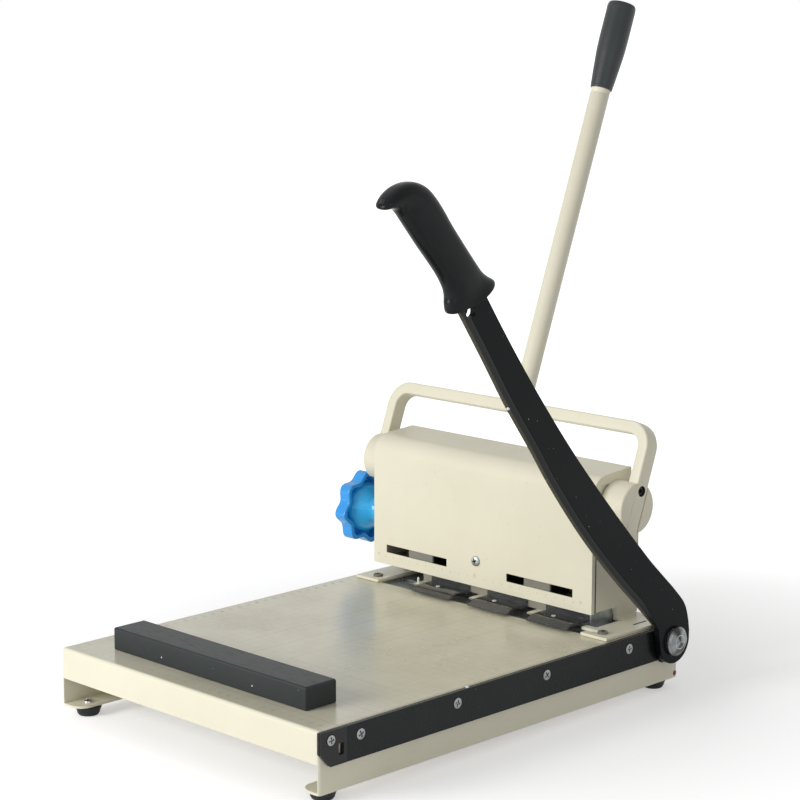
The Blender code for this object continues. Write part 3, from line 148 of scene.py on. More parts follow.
def makeMetalSkin():
    # grain: fine lines along one axis; crystals: patches of zinc; stain: cloudy dullness
    given, result = newGroup(
        "metalSkin", {"Grain Scale": (90.0, 1400.0, 1400.0), "Crystal Scale": 420.0},
        ("Grain", "Crystals", "Stain"))
    place = given["Vector"]
    cells = addNode(place.id_data, "ShaderNodeTexVoronoi", {"Vector": place, "Scale": given["Crystal Scale"]})
    shade = addNode(place.id_data, "ShaderNodeSeparateColor", {"Color": cells.outputs["Color"]})
    return setInputs(result, {
        "Grain": addNoise(doVector("MULTIPLY", place, given["Grain Scale"]), 1.0, 2.0),
        "Crystals": shade.outputs[0],
        "Stain": addNoise(place, 60.0, 5.0, 0.7)}).id_data


deckPrint = {
    "gridPitch": 0.01, "gridWidth": 0.00022, "lineWidth": 0.00034, "tickWidth": 0.00016,
    "right": 0.3005, "rear": 0.318, "edge": 0.004, "margin": 0.008,
    "tickLengths": ((0.001, 0.0022), (0.005, 0.0034), (0.01, 0.0046)),
    "sheets": ((0.21, 0.297), (0.182, 0.257), (0.148, 0.21), (0.128, 0.182), (0.105, 0.148), (0.088, 0.125))}


def makeRuledSheet():
    # ink where the place is within half a line's width of a ruled line, a sheet's outline or a ruler's tick
    given, result = newGroup("ruledSheet", {}, ("Grid", "Lines", "Top"))
    edge, rear = deckPrint["edge"], deckPrint["rear"]
    inner = edge + deckPrint["margin"]
    x, y, z = splitPlace(given["Vector"])
    x, y = (doMath("SUBTRACT", value, float(start)) for value, start in zip((x, y), onMachine(0, 0, 0)))
    top = doMath("GREATER_THAN", z, deckZ - 0.0003)
    inside = doMath("MULTIPLY", doMath("GREATER_THAN", x, inner), doMath("GREATER_THAN", y, inner),
                    doMath("LESS_THAN", y, rear), top)
    grid = doMath("MAXIMUM", *(
        doMath("LESS_THAN", doMath("PINGPONG", value, deckPrint["gridPitch"] / 2), deckPrint["gridWidth"] / 2)
        for value in (x, y)))
    marks = []
    for wide, long in deckPrint["sheets"]:
        left = doMath("SUBTRACT", deckPrint["right"] - wide, x)
        front = doMath("SUBTRACT", rear - long, y)
        away = doMath("ABSOLUTE", doMath("MAXIMUM", left, front))
        marks.append(doMath("MULTIPLY", doMath("LESS_THAN", away, deckPrint["lineWidth"] / 2), inside))
    for across, along in ((x, y), (y, x)):
        for pitch, length in deckPrint["tickLengths"]:
            near = doMath("PINGPONG", along, pitch / 2)
            marks.append(doMath(
                "MULTIPLY", doMath("LESS_THAN", near, deckPrint["tickWidth"] / 2),
                doMath("LESS_THAN", across, edge + length), doMath("GREATER_THAN", across, edge),
                doMath("GREATER_THAN", along, edge), top))
    return setInputs(result, {
        "Grid": doMath("MULTIPLY", grid, inside), "Lines": doMath("MAXIMUM", *marks), "Top": top}).id_data


paintSkin = makePaintSkin()
metalSkin = makeMetalSkin()
ruledSheet = makeRuledSheet()
print("surface patterns ready")


def withSpaces(values):
    return {label.replace("_", " "): value for label, value in values.items()}


def startMaterial(name, **plain):
    # a principled shader with its fixed values, and the place on the object in metres
    material = bpy.data.materials.new(name)
    material.use_nodes = True
    tree = material.node_tree
    tree.nodes.clear()
    shader = addNode(tree, "ShaderNodeBsdfPrincipled", withSpaces(plain))
    addNode(tree, "ShaderNodeOutputMaterial", {"Surface": shader.outputs[0]})
    return material, shader, tree.nodes.new("ShaderNodeTexCoord").outputs["Object"]


def addSkin(place, group, **values):
    inputs = {"Vector": place, **withSpaces(values)}
    return addNode(place.id_data, "ShaderNodeGroup", inputs, node_tree=group).outputs


def endMaterial(material, shader, color, rough, height, strength, distance=0.0004):
    inputs = {"Height": height, "Strength": strength, "Distance": distance}
    normal = addNode(shader.id_data, "ShaderNodeBump", inputs).outputs[0]
    setInputs(shader, {"Base Color": color, "Roughness": rough, "Normal": normal})
    return material


# the deck colours are painted shade for the tray's upward face
creamPaint = {"color": (0.835, 0.795, 0.635), "shadow": (0.8, 0.76, 0.6), "roughness": (0.3, 0.42),
              "deck": (0.72, 0.688, 0.535), "deckWorn": (0.61, 0.58, 0.44), "deckPolish": 0.12,
              "peel": 0.08, "peelScale": 760.0, "ink": (0.26, 0.24, 0.19), "gridInk": 0.36, "lineInk": 0.6,
              "scuffedInk": 0.55, "dust": 0.25, "scuffPolish": 0.06, "gloss": 0.32, "deckGloss": 0.5}


def makeCream(name, printed=False):
    gloss = creamPaint["deckGloss" if printed else "gloss"]
    material, shader, place = startMaterial(name, Specular_IOR_Level=gloss)
    skin = addSkin(place, paintSkin, Peel_Scale=creamPaint["peelScale"])
    tone = remap(skin["Tone"], 0.38, 0.68)
    color = mixColor(tone, creamPaint["color"], creamPaint["shadow"])
    rough = remap(skin["Tone"], 0.3, 0.7, *creamPaint["roughness"])
    if printed:
        # the deck's top is painted darker than the skirts, painted shade on the upward face; it is rubbed
        # smoother and carries the ruling
        ink = addSkin(place, ruledSheet)
        worn = addSkin(place, paintSkin, Tone_Scale=6.0)
        age = doMath("MAXIMUM", tone, remap(worn["Tone"], 0.5, 0.66))
        # painted shade: the top takes the darker deck colours, mixed at random with a worn tone
        color = mixColor(ink["Top"], color, mixColor(age, creamPaint["deck"], creamPaint["deckWorn"]))
        rough = doMath("SUBTRACT", rough, doMath("MULTIPLY", ink["Top"], creamPaint["deckPolish"]))
        share = doMath("MAXIMUM", doMath("MULTIPLY", ink["Grid"], creamPaint["gridInk"]),
                       doMath("MULTIPLY", ink["Lines"], creamPaint["lineInk"]))
        kept = remap(skin["Scuffs"], 0.0, 1.0, 1.0, creamPaint["scuffedInk"])
        color = mixColor(doMath("MULTIPLY", share, kept), color, creamPaint["ink"])
    color = mixColor(doMath("MULTIPLY", skin["Specks"], creamPaint["dust"]), color, creamPaint["ink"])
    rough = doMath("SUBTRACT", rough, doMath("MULTIPLY", skin["Scuffs"], creamPaint["scuffPolish"]))
    return endMaterial(material, shader, color, rough, skin["Peel"], creamPaint["peel"])


def makePlainCream(name, color):
    material, shader, place = startMaterial(name)
    skin = addSkin(place, paintSkin, Peel_Scale=creamPaint["peelScale"])
    mixed = mixColor(skin["Tone"], color, tuple(value * 0.8 for value in color))
    rough = remap(skin["Tone"], 0.3, 0.7, *creamPaint["roughness"])
    return endMaterial(material, shader, mixed, rough, skin["Peel"], creamPaint["peel"])


def makeDark(name, color, dust, roughness, peel, scale, speckShare=0.0, speckLevel=0.76, fade=None, **plain):
    # a dark finish whose shade drifts slightly and carries a little dust; where given, painted shade darkens it
    # along one axis
    material, shader, place = startMaterial(name, **plain)
    skin = addSkin(place, paintSkin, Peel_Scale=scale, Speck_Level=speckLevel)
    mixed = mixColor(remap(skin["Tone"], 0.35, 0.68, 0.0, 0.8), color, dust)
    mixed = mixColor(doMath("MULTIPLY", skin["Specks"], speckShare), mixed, (0.55, 0.55, 0.5))
    if fade:
        axis, start, end, share = fade
        # painted shade: the colour darkens by the given share along the axis
        darker = tuple(value * share for value in color)
        mixed = mixColor(remap(splitPlace(place)[axis], start, end), mixed, darker)
    rough = remap(skin["Scuffs"], 0.0, 1.0, *roughness)
    return endMaterial(material, shader, mixed, rough, skin["Peel"], peel, 0.0005)


def makeMetal(name, color, dull, roughness, grainShare, crystalShare):
    material, shader, place = startMaterial(name, Metallic=1.0)
    skin = addSkin(place, metalSkin)
    share = doMath("ADD", doMath("MULTIPLY", skin["Crystals"], crystalShare),
                   remap(skin["Stain"], 0.45, 0.72, 0.0, 0.5))
    rough = doMath("ADD", remap(skin["Grain"], 0.3, 0.7, *roughness),
                   doMath("MULTIPLY", skin["Crystals"], crystalShare * 0.25))
    mixed = mixColor(share, color, dull)
    return endMaterial(material, shader, mixed, rough, skin["Grain"], grainShare * 0.05, 0.0003)


def middleOf(node):
    low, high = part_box(node)
    return (np.array(low) + np.array(high)) / 2


def fromAxis(place, node):
    # the place less the middle of a node that turns about the X axis
    return doVector("SUBTRACT", place, (0.0, *middleOf(node)[1:].tolist()))


def makeBlue():
    # the dome within the rim is painted lighter than the rim: painted light where the rim shades it
    material, shader, place = startMaterial("blueKnobPlastic")
    skin = addSkin(place, paintSkin, Peel_Scale=520.0)
    color = mixColor(remap(skin["Tone"], 0.3, 0.7), (0.03, 0.385, 0.93), (0.024, 0.33, 0.86))
    reach = doVector("LENGTH", doVector("MULTIPLY", fromAxis(place, "spacing_knob"), (0.0, 1.0, 1.0)))
    # painted light: the dome, nearer the axis than the rim, takes a lighter blue
    color = mixColor(remap(reach, 0.0225, 0.0245, 1.0, 0.0), color, (0.032, 0.5, 1.0))
    return endMaterial(material, shader, color, remap(skin["Scuffs"], 0.0, 1.0, 0.16, 0.26), skin["Peel"], 0.04)


def makeSheer(name, color, roughness, transmission, alpha, haze):
    material, shader, place = startMaterial(name, Transmission_Weight=transmission, IOR=1.49)
    skin = addSkin(place, paintSkin, Peel_Scale=260.0, Speck_Scale=700.0, Speck_Level=0.7)
    mixed = mixColor(remap(skin["Tone"], 0.4, 0.7, 0.0, haze), color, (0.3, 0.3, 0.29))
    setInputs(shader, {"Alpha": remap(skin["Tone"], 0.0, 1.0, alpha, min(alpha + 0.06, 1.0))})
    rough = remap(skin["Scuffs"], 0.0, 1.0, roughness, roughness + 0.15)
    return endMaterial(material, shader, mixed, rough, skin["Peel"], 0.12)


# painted highlight: past the ridge the bevel takes a lighter black
groundEdge = {"left": 0.3066, "steel": (0.0009, 0.0015), "ridge": (0.0034, 0.0038), "ridgeShare": 0.6}


def makeGroundEdge():
    # olive ground steel along the cutting line at the low X side, black paint on the rest of the bevel, and a
    # painted highlight, a lighter black, on the bevel's last strip next to the flat side
    material, shader, place = startMaterial("groundBladeEdge", Specular_IOR_Level=0.3)
    skin = addSkin(place, metalSkin, Grain_Scale=(700.0, 260.0, 1500.0))
    across = splitPlace(place)[0]
    start = float(onMachine(groundEdge["left"], 0, 0)[0])
    painted, ridge = (remap(across, start + low, start + high)
                      for low, high in (groundEdge["steel"], groundEdge["ridge"]))
    steel = mixColor(remap(skin["Grain"], 0.35, 0.65), (0.105, 0.098, 0.062), (0.055, 0.051, 0.036))
    color = mixColor(painted, steel, (0.009, 0.0105, 0.0108))
    # painted highlight: the bevel's strip next to the flat side is a lighter black
    color = mixColor(doMath("MULTIPLY", ridge, groundEdge["ridgeShare"]), color, (0.03, 0.033, 0.031))
    rough = remap(skin["Grain"], 0.3, 0.7, 0.28, 0.44)
    return endMaterial(material, shader, color, rough, skin["Grain"], 0.06, 0.0003)


def makeNutChrome():
    # painted reflection: shade = sin(2 t + 0.9) + 0.45 sin(5 t + 2), where t is the angle about the nut's own
    # axis
    material, shader, place = startMaterial("polishedNutChrome", Metallic=1.0)
    parts = splitPlace(fromAxis(place, "pivot_nut"))
    angle = doMath("ARCTAN2", parts[2], parts[1])
    wave, ripple = (doMath("SINE", doMath("ADD", doMath("MULTIPLY", angle, times), phase))
                    for times, phase in ((2.0, 0.9), (5.0, 2.0)))
    share = remap(doMath("ADD", wave, doMath("MULTIPLY", ripple, 0.45)), -1.1, 1.1)
    skin = addSkin(place, metalSkin)
    # painted reflection: dark and light sectors about the nut's axis
    return endMaterial(material, shader, mixColor(share, (0.045, 0.041, 0.038), (0.27, 0.3, 0.3)),
                       remap(skin["Stain"], 0.3, 0.7, 0.1, 0.2), skin["Grain"], 0.02, 0.0003)


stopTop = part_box("paper_stop")[1].z
materials = {
    "cream": makeCream("creamPaint"),
    "nutChrome": makeNutChrome(),
    # painted shade for the guard bracket's upright faces
    "shadedCream": makePlainCream("bracketPaint", (0.33, 0.312, 0.25)),
    "deck": makeCream("creamPaintPrintedDeck", printed=True),
    "blackPaint": makeDark(
        "blackPaint", (0.0062, 0.008, 0.0086), (0.0095, 0.0112, 0.0116), (0.22, 0.34), 0.04, 640.0, 0.8, 0.785,
        Specular_IOR_Level=0.07),
    # painted shade: the rail's black darkens towards the back
    "railPaint": makeDark(
        "railBlackPaint", (0.023, 0.0252, 0.026), (0.029, 0.031, 0.0315), (0.26, 0.38), 0.05, 640.0, 0.6, 0.8,
        fade=(1, -0.06, 0.13, 0.22), Specular_IOR_Level=0.12),
    "handle": makeDark(
        "handleBlackPlastic", (0.0085, 0.0105, 0.0112), (0.0115, 0.0135, 0.0138), (0.17, 0.26), 0.04, 420.0,
        Specular_IOR_Level=0.12),
    "grip": makeDark(
        "gripRubber", (0.023, 0.029, 0.0305), (0.036, 0.042, 0.043), (0.4, 0.56), 0.22, 900.0,
        Specular_IOR_Level=0.35),
    # painted shade: the stop's black darkens over its top face
    "stop": makeDark(
        "paperStopPaint", (0.024, 0.0295, 0.03), (0.031, 0.0365, 0.037), (0.42, 0.56), 0.2, 1500.0, 0.25, 0.76,
        fade=(2, stopTop - 0.0009, stopTop - 0.0004, 0.6), Specular_IOR_Level=0.25),
    "foot": makeDark(
        "footRubber", (0.013, 0.017, 0.019), (0.023, 0.027, 0.028), (0.6, 0.78), 0.3, 1100.0,
        Specular_IOR_Level=0.3),
    "blackSteel": makeDark(
        "blackenedSteel", (0.01, 0.0108, 0.011), (0.018, 0.0185, 0.018), (0.3, 0.48), 0.1, 900.0,
        Specular_IOR_Level=0.3),
    "chrome": makeMetal("chromePlate", (0.68, 0.7, 0.71), (0.5, 0.52, 0.53), (0.07, 0.15), 0.3, 0.05),
    "zinc": makeMetal("galvanizedZinc", (0.5, 0.53, 0.54), (0.34, 0.37, 0.38), (0.28, 0.38), 0.4, 0.55),
    "steel": makeMetal("machinedSteel", (0.5, 0.51, 0.52), (0.34, 0.34, 0.34), (0.2, 0.34), 1.0, 0.08),
    "blue": makeBlue(),
    "smoked": makeSheer("smokedGuardPlastic", (0.062, 0.066, 0.068), 0.07, 0.5, 0.8, 0.3),
    "pointer": makeSheer("pointerPlastic", (0.36, 0.345, 0.3), 0.18, 0.35, 0.92, 0.2),
    "pad": makeDark("cuttingPadPlastic", (0.7, 0.68, 0.59), (0.56, 0.54, 0.45), (0.45, 0.6), 0.1, 500.0),
    "bead": makeDark("whiteNylon", (0.86, 0.86, 0.84), (0.76, 0.76, 0.74), (0.3, 0.45), 0.05, 900.0),
    "ink": makeDark("scaleInk", (0.4, 0.37, 0.29), (0.48, 0.445, 0.35), (0.5, 0.62), 0.05, 900.0),
    # painted shade for the lever's bores, the cover's seam and the foot plate's slit
    "dark": makeDark("darkSlot", (0.02, 0.0195, 0.017), (0.028, 0.027, 0.023), (0.6, 0.8), 0.1, 900.0),
    "redLacquer": makeDark(
        "redBrownLacquer", (0.15, 0.012, 0.012), (0.07, 0.01, 0.009), (0.3, 0.45), 0.1, 900.0),
    "edge": makeGroundEdge(),
    "railScrew": makeMetal("railScrewSteel", (0.34, 0.36, 0.36), (0.18, 0.18, 0.18), (0.22, 0.36), 0.6, 0.15),
    "dullSteel": makeMetal("dullScrewSteel", (0.2, 0.19, 0.17), (0.11, 0.08, 0.06), (0.3, 0.44), 0.6, 0.2)}
finishOf = {
    "cream_paint": "cream", "black_paint": "blackPaint", "black_plastic": "handle", "dark_block": "stop",
    "rubber": "foot", "chrome": "chrome", "zinc": "zinc", "steel": "steel", "black_steel": "blackSteel",
    "blue_plastic": "blue", "smoked_plastic": "smoked", "clear_plastic": "pointer", "pad_plastic": "pad"}
print("materials ready:", len(materials))


# mesh helpers

def fullTurn(steps):
    return np.linspace(0, math.tau, steps, endpoint=False)


def shadeSmooth(mesh, degrees):
    # smooth over every edge whose faces meet at less than the angle
    mesh.shade_smooth()
    mesh.set_sharp_from_angle(angle=math.radians(degrees))


def finishMesh(name, points, faces, smooth):
    mesh = bpy.data.meshes.new(name)
    mesh.from_pydata(points.reshape(-1, 3).tolist(), [], faces)
    shape = bmesh.new()
    shape.from_mesh(mesh)
    bmesh.ops.remove_doubles(shape, verts=shape.verts, dist=1e-6)
    bmesh.ops.dissolve_degenerate(shape, dist=1e-7, edges=shape.edges)
    bmesh.ops.recalc_face_normals(shape, faces=shape.faces)
    shape.to_mesh(mesh)
    shape.free()
    shadeSmooth(mesh, smooth)
    return mesh


def gridFaces(rows, columns):
    # one quad between each four neighbours of a grid whose rows are closed rings
    index = np.arange(rows * columns).reshape(rows, columns)
    index = np.hstack([index, index[:, :1]])
    quads = np.stack([index[:-1, :-1], index[:-1, 1:], index[1:, 1:], index[1:, :-1]], -1)
    return quads.reshape(-1, 4).tolist()


def gridMesh(name, points, smooth=40):
    # rings of points joined by quads, with a fan of triangles over each end
    rows, columns = points.shape[:2]
    faces = gridFaces(rows, columns)
    flat = points.reshape(-1, 3)
    for row in (0, rows - 1):
        ring = np.arange(columns) + row * columns
        faces += np.stack([ring, np.roll(ring, -1), np.full(columns, len(flat))], -1).tolist()
        flat = np.vstack([flat, points[row].mean(0)[None]])
    return finishMesh(name, flat, faces, smooth)


def faceValues(mesh, label, size=3):
    values = np.zeros(len(mesh.polygons) * size)
    mesh.polygons.foreach_get(label, values)
    return values.reshape(-1, size)


def paintFaces(mesh, wanted):
    # the wanted faces take the mesh's second material
    mesh.polygons.foreach_set("material_index", wanted.astype(np.int32))
    mesh.update()


def putInScene(name, data):
    thing = bpy.data.objects.new(name, data)
    bpy.context.scene.collection.objects.link(thing)
    return thing


def cutHoles(mesh, holes, smooth):
    # the mesh less the shape of each hole
    helpers = [putInScene("whole", mesh)]
    for hole in holes:
        helpers.append(putInScene("hole", hole))
        step = helpers[0].modifiers.new("hole", "BOOLEAN")
        step.operation, step.solver, step.object = "DIFFERENCE", "EXACT", helpers[-1]
    cut = bpy.data.meshes.new_from_object(helpers[0].evaluated_get(bpy.context.evaluated_depsgraph_get()))
    for helper in helpers:
        bpy.data.objects.remove(helper, do_unlink=True)
    cut.name = mesh.name
    shadeSmooth(cut, smooth)
    return cut


def addPiece(name, mesh, material, body, replaces=(), bevel=None):
    piece = putInScene(name, mesh)
    for each in material if isinstance(material, list) else [material]:
        mesh.materials.append(materials[each])
    if bevel:
        rounding = piece.modifiers.new("roundedEdges", "BEVEL")
        rounding.width = bevel
        rounding.segments = 2
        rounding.limit_method = "ANGLE"
        rounding.angle_limit = math.radians(32)
        piece.modifiers.new("evenShading", "WEIGHTED_NORMAL").keep_sharp = True
    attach(piece, body)
    if replaces:
        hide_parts(*replaces)
    return piece


def frameOf(axis):
    # two unit vectors square to an axis
    axis = np.asarray(axis, float) / np.linalg.norm(axis)
    helper = np.array([0.0, 0.0, 1.0]) if abs(axis[2]) < 0.9 else np.array([1.0, 0.0, 0.0])
    first = np.cross(helper, axis)
    first /= np.linalg.norm(first)
    return axis, first, np.cross(axis, first)


def turnedPoints(profile, center, axis, sides):
    # point = center + along * axis + radius * (cos t * first + sin t * second)
    axis, first, second = frameOf(axis)
    profile = np.asarray(profile, float)
    angle = fullTurn(sides)
    ring = np.cos(angle)[:, None] * first + np.sin(angle)[:, None] * second
    return center + profile[:, None, :1] * axis + profile[:, None, 1:] * ring[None]


def easeCorners(points, reach, steps=5):
    # each inner corner c becomes (1-t)^2 a + 2t(1-t) c + t^2 b, with a and b a short way along its two edges
    points = np.asarray(points, float)
    corner = points[1:-1]
    before, after = points[:-2] - corner, points[2:] - corner
    lengthBefore = np.linalg.norm(before, axis=1, keepdims=True)
    lengthAfter = np.linalg.norm(after, axis=1, keepdims=True)
    cut = np.minimum(reach, np.minimum(lengthBefore, lengthAfter) * 0.45)
    a, b = corner + before / lengthBefore * cut, corner + after / lengthAfter * cut
    t = np.linspace(0, 1, steps)[None, :, None]
    curve = (1 - t) ** 2 * a[:, None] + 2 * t * (1 - t) * corner[:, None] + t ** 2 * b[:, None]
    return np.vstack([points[:1], curve.reshape(-1, points.shape[1]), points[-1:]])


def smoothThrough(keys, samples):
    # a Catmull-Rom curve through the keys, with the same number of samples between each two
    keys = np.asarray(keys, float)
    padded = np.vstack([2 * keys[:1] - keys[1:2], keys, 2 * keys[-1:] - keys[-2:-1]])
    p0, p1, p2, p3 = padded[:-3, None], padded[1:-2, None], padded[2:-1, None], padded[3:, None]
    t = np.linspace(0, 1, samples, endpoint=False)[None, :, None]
    curve = 0.5 * (2 * p1 + (p2 - p0) * t + (2 * p0 - 5 * p1 + 4 * p2 - p3) * t ** 2
                   + (3 * p1 - p0 - 3 * p2 + p3) * t ** 3)
    return np.vstack([curve.reshape(-1, keys.shape[1]), keys[-1:]])


def refined(node, material, bevel=0.0004, name=None):
    # the node's own shape, merged, with its edges rounded
    shape = bmesh.new()
    shape.from_mesh(frame["nodes"][node].data)
    bmesh.ops.remove_doubles(shape, verts=shape.verts, dist=2e-6)
    bmesh.ops.dissolve_limit(shape, angle_limit=math.radians(0.5), verts=shape.verts, edges=shape.edges)
    mesh = bpy.data.meshes.new(name or node + "Fine")
    shape.to_mesh(mesh)
    shape.free()
    shadeSmooth(mesh, 32)
    return addPiece(name or node + "Fine", mesh, material, bodyOf[node], (node,), bevel)


# sheet and bar pieces that keep the shape they have
fineNodes = {
    "base_tray": ("deck", 0.0004), "knife_rail": ("railPaint", 0.0005), "lock_plate": ("blackSteel", 0.0002),
    "pivot_bracket": ("railPaint", 0.0004), "paper_stop": ("stop", 0.0005),
    "side_plate_left": ("cream", 0.0004), "side_plate_right": ("cream", 0.0004),
    "head_block_left": ("zinc", 0.0004), "head_block_right": ("zinc", 0.0004),
    "head_cover": ("cream", 0.0003), "rear_cover": ("cream", 0.0003),
    "hub_left": ("cream", 0.0003), "hub_right": ("cream", 0.0003),
    "guide_plate": ("zinc", 0.0003), "centre_block": ("blackSteel", 0.0004), "punch_beam": ("steel", 0.0004),
    "carrier_left": ("blackSteel", 0.0004), "carrier_right": ("blackSteel", 0.0004),
    "pointer_left": ("pointer", 0.0002), "pointer_right": ("pointer", 0.0002),
    "die_bar": ("zinc", 0.0004), "guard_bracket": ("cream", 0.0003),
    "guard_left": ("smoked", 0.0003), "guard_centre": ("smoked", 0.0003), "guard_right": ("smoked", 0.0003)}
for node, (material, bevel) in fineNodes.items():
    fine = refined(node, material, bevel)
    if node == "guard_bracket":
        # painted shade: its upright faces, which lie in the cover's shade, take a darker cream
        fine.data.materials.append(materials["shadedCream"])
        paintFaces(fine.data, np.abs(faceValues(fine.data, "normal")[:, 1]) > 0.6)
print("refined sheet and bar pieces:", len(fineNodes))


def makeSprings():
    # each return spring keeps its own refined shape in steel, on a mesh of its own
    for side in ("left", "right"):
        piece = refined("return_spring_" + side, "steel", None, "returnSpring" + side.title())
        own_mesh(piece)


makeSprings()
print("springs made")


# shaft, hubs' bar, lever and grip lean back together
lever = {
    "lean": math.radians(20.5), "outer": 0.1497, "barThick": 0.0105, "barWide": 0.0147, "barRound": 0.0016,
    "crossbar": 0.065, "bend": 0.022, "hub": 0.021, "screwUp": 0.0145, "screwBore": 0.0045,
    "screwBoreDepth": 0.0048, "tube": 0.0085, "weld": 0.0016, "tubeTop": 0.424, "ringBelowGrip": 0.0042,
    "gripLow": 0.353, "gripHigh": 0.431, "grip": 0.01268}
shaftPlace = onMachine(0.1386, 0.3691, 0.157)


def leanBack(points):
    # y' = y cos a + z sin a, z' = z cos a - y sin a about the shaft
    y, z = points[..., 1] - shaftPlace[1], points[..., 2] - shaftPlace[2]
    c, s = math.cos(lever["lean"]), math.sin(lever["lean"])
    return np.stack([points[..., 0], shaftPlace[1] + y * c + z * s, shaftPlace[2] + z * c - y * s], -1)


def makeLeverFrame():
    # a rounded rectangle carried along a line that runs up, across and down, with bent corners
    half = lever["outer"] - lever["barThick"] / 2
    top = lever["crossbar"]
    radius = lever["bend"] - lever["barThick"] / 2
    turn = np.linspace(0, math.pi / 2, 17)
    leftBend = np.stack([-half + radius - radius * np.cos(turn), top - radius + radius * np.sin(turn)], -1)
    leftOut = np.stack([-np.cos(turn), np.sin(turn)], -1)
    rightBend = leftBend[::-1] * [-1, 1]
    rightOut = leftOut[::-1] * [-1, 1]
    path = np.vstack([[[-half, 0.0]], leftBend, rightBend, [[half, 0.0]]])
    outward = np.vstack([[[-1, 0]], leftOut, rightOut, [[1, 0]]])
    corner = np.linspace(0, math.pi / 2, 6)
    wide, thick, r = lever["barWide"] / 2, lever["barThick"] / 2, lever["barRound"]
    arcs = []
    for quarter, (sx, sy) in enumerate(((1, 1), (-1, 1), (-1, -1), (1, -1))):
        a = corner + quarter * math.pi / 2
        arcs.append(np.stack([sx * (thick - r) + r * np.cos(a), sy * (wide - r) + r * np.sin(a)], -1))
    section = np.vstack(arcs)
    x = path[:, None, 0] + outward[:, None, 0] * section[None, :, 0]
    z = path[:, None, 1] + outward[:, None, 1] * section[None, :, 0]
    y = np.broadcast_to(section[None, :, 1], x.shape)
    z[0] = z[-1] = -np.sqrt(lever["hub"] ** 2 - section[:, 1] ** 2)
    points = leanBack(np.stack([x + shaftPlace[0], y + shaftPlace[1], z + shaftPlace[2]], -1))
    bore, up = lever["screwBore"], np.array([0, 0, lever["screwUp"]])
    holes = []
    for side in (-1, 1):
        bottom = shaftPlace + up + [side * (lever["outer"] - lever["screwBoreDepth"]), 0, 0]
        ends = [(0.0, bore), (lever["screwBoreDepth"] + 0.002, bore)]
        holes.append(gridMesh("hole", leanBack(turnedPoints(ends, bottom, (side, 0, 0), 40))))
    mesh = cutHoles(gridMesh("leverFrameBar", points, smooth=35), holes, 35)
    addPiece("leverFrameBar", mesh, ["cream", "dark"], "lever", ("lever_frame",))
    # painted shade: the small faces of the bores' walls take the dark finish
    away = np.linalg.norm((faceValues(mesh, "center") - leanBack(shaftPlace + up))[:, 1:], axis=1)
    paintFaces(mesh, (np.abs(away - bore) < 0.0002) & (faceValues(mesh, "area", 1)[:, 0] < 8e-6))


def makeLeverTube():
    # radius against height: a small weld fillet, then an even bar, then a ring where the grip begins
    low = lever["crossbar"] + lever["barThick"] / 2 - 0.0002
    r, weld, top = lever["tube"], lever["weld"], lever["tubeTop"]
    height = np.linspace(0, weld * 2, 8)
    fillet = np.stack([low + height, r + weld * (1 - np.sin(height / (weld * 2) * math.pi / 2))], -1)
    ring = lever["gripLow"] - lever["ringBelowGrip"]
    upper = [(ring, r), (ring + 0.0003, r - 0.00025), (ring + 0.0006, r), (top - 0.0005, r)]
    profile = np.vstack([[(low, 0.002)], fillet, upper, [(top, r - 0.0008), (top, 0.002)]])
    mesh = gridMesh("leverTubeBar", leanBack(turnedPoints(profile, shaftPlace, (0, 0, 1), 72)))
    addPiece("leverTubeBar", mesh, "cream", "lever", ("lever_tube",))


def makeLeverGrip():
    # a slender cone that swells to a cylinder, with a parting ring, a rolled lower lip and a rounded top
    g, low, high = lever["grip"], lever["gripLow"], lever["gripHigh"]
    shares = [(0.0, 0.7), (0.004, 0.745), (0.02, 0.775), (0.035, 0.77), (0.05, 0.785), (0.2, 0.868),
              (0.4, 0.962), (0.432, 0.968), (0.44, 0.976), (0.6, 1.0), (0.9, 1.0), (0.955, 0.99),
              (0.982, 0.955), (0.995, 0.9), (1.0, 0.8)]
    profile = smoothThrough([(low + along * (high - low), wide * g) for along, wide in shares], 5)
    profile = np.vstack([[(low, lever["tube"] + 0.0003)], profile, [(high, g * 0.4), (high, 0.001)]])
    profile[:, 0] = np.minimum(profile[:, 0], high)
    mesh = gridMesh("leverHandGrip", leanBack(turnedPoints(profile, shaftPlace, (0, 0, 1), 72)), smooth=50)
    addPiece("leverHandGrip", mesh, "grip", "lever", ("lever_grip",))


hubScrew = {"depth": 0.0047, "head": 0.004, "high": 0.003, "socket": 0.0021, "socketFloor": 0.001}


def makeHubScrews():
    # a socket screw sunk in the bar: a rim, then a hexagonal recess
    r, high = hubScrew["head"], hubScrew["high"]
    for side, name in ((-1, "left"), (1, "right")):
        inner = shaftPlace + [side * (lever["outer"] - hubScrew["depth"]), 0, lever["screwUp"]]
        outer = [(0.0, r), (high - 0.0006, r), (high, r - 0.0004), (high, 0.0024)]
        points = turnedPoints(easeCorners(outer, 0.0003), inner, (side, 0, 0), 48)
        axis, first, second = frameOf((side, 0, 0))
        angle = fullTurn(48)
        hexagon = hubScrew["socket"] * math.cos(math.pi / 6) / np.cos(np.mod(angle, math.pi / 3) - math.pi / 6)
        ring = np.cos(angle)[:, None] * first + np.sin(angle)[:, None] * second
        heights = (high, hubScrew["socketFloor"])
        recess = np.stack([inner + axis * up + ring * hexagon[:, None] for up in heights])
        mesh = gridMesh("hubScrew" + name.title(), leanBack(np.vstack([points, recess])), smooth=30)
        addPiece("hubScrew" + name.title(), mesh, "blackSteel", "lever", ("hub_screw_" + name,))


makeLeverFrame()
makeLeverTube()
makeLeverGrip()
makeHubScrews()
print("lever pieces made")


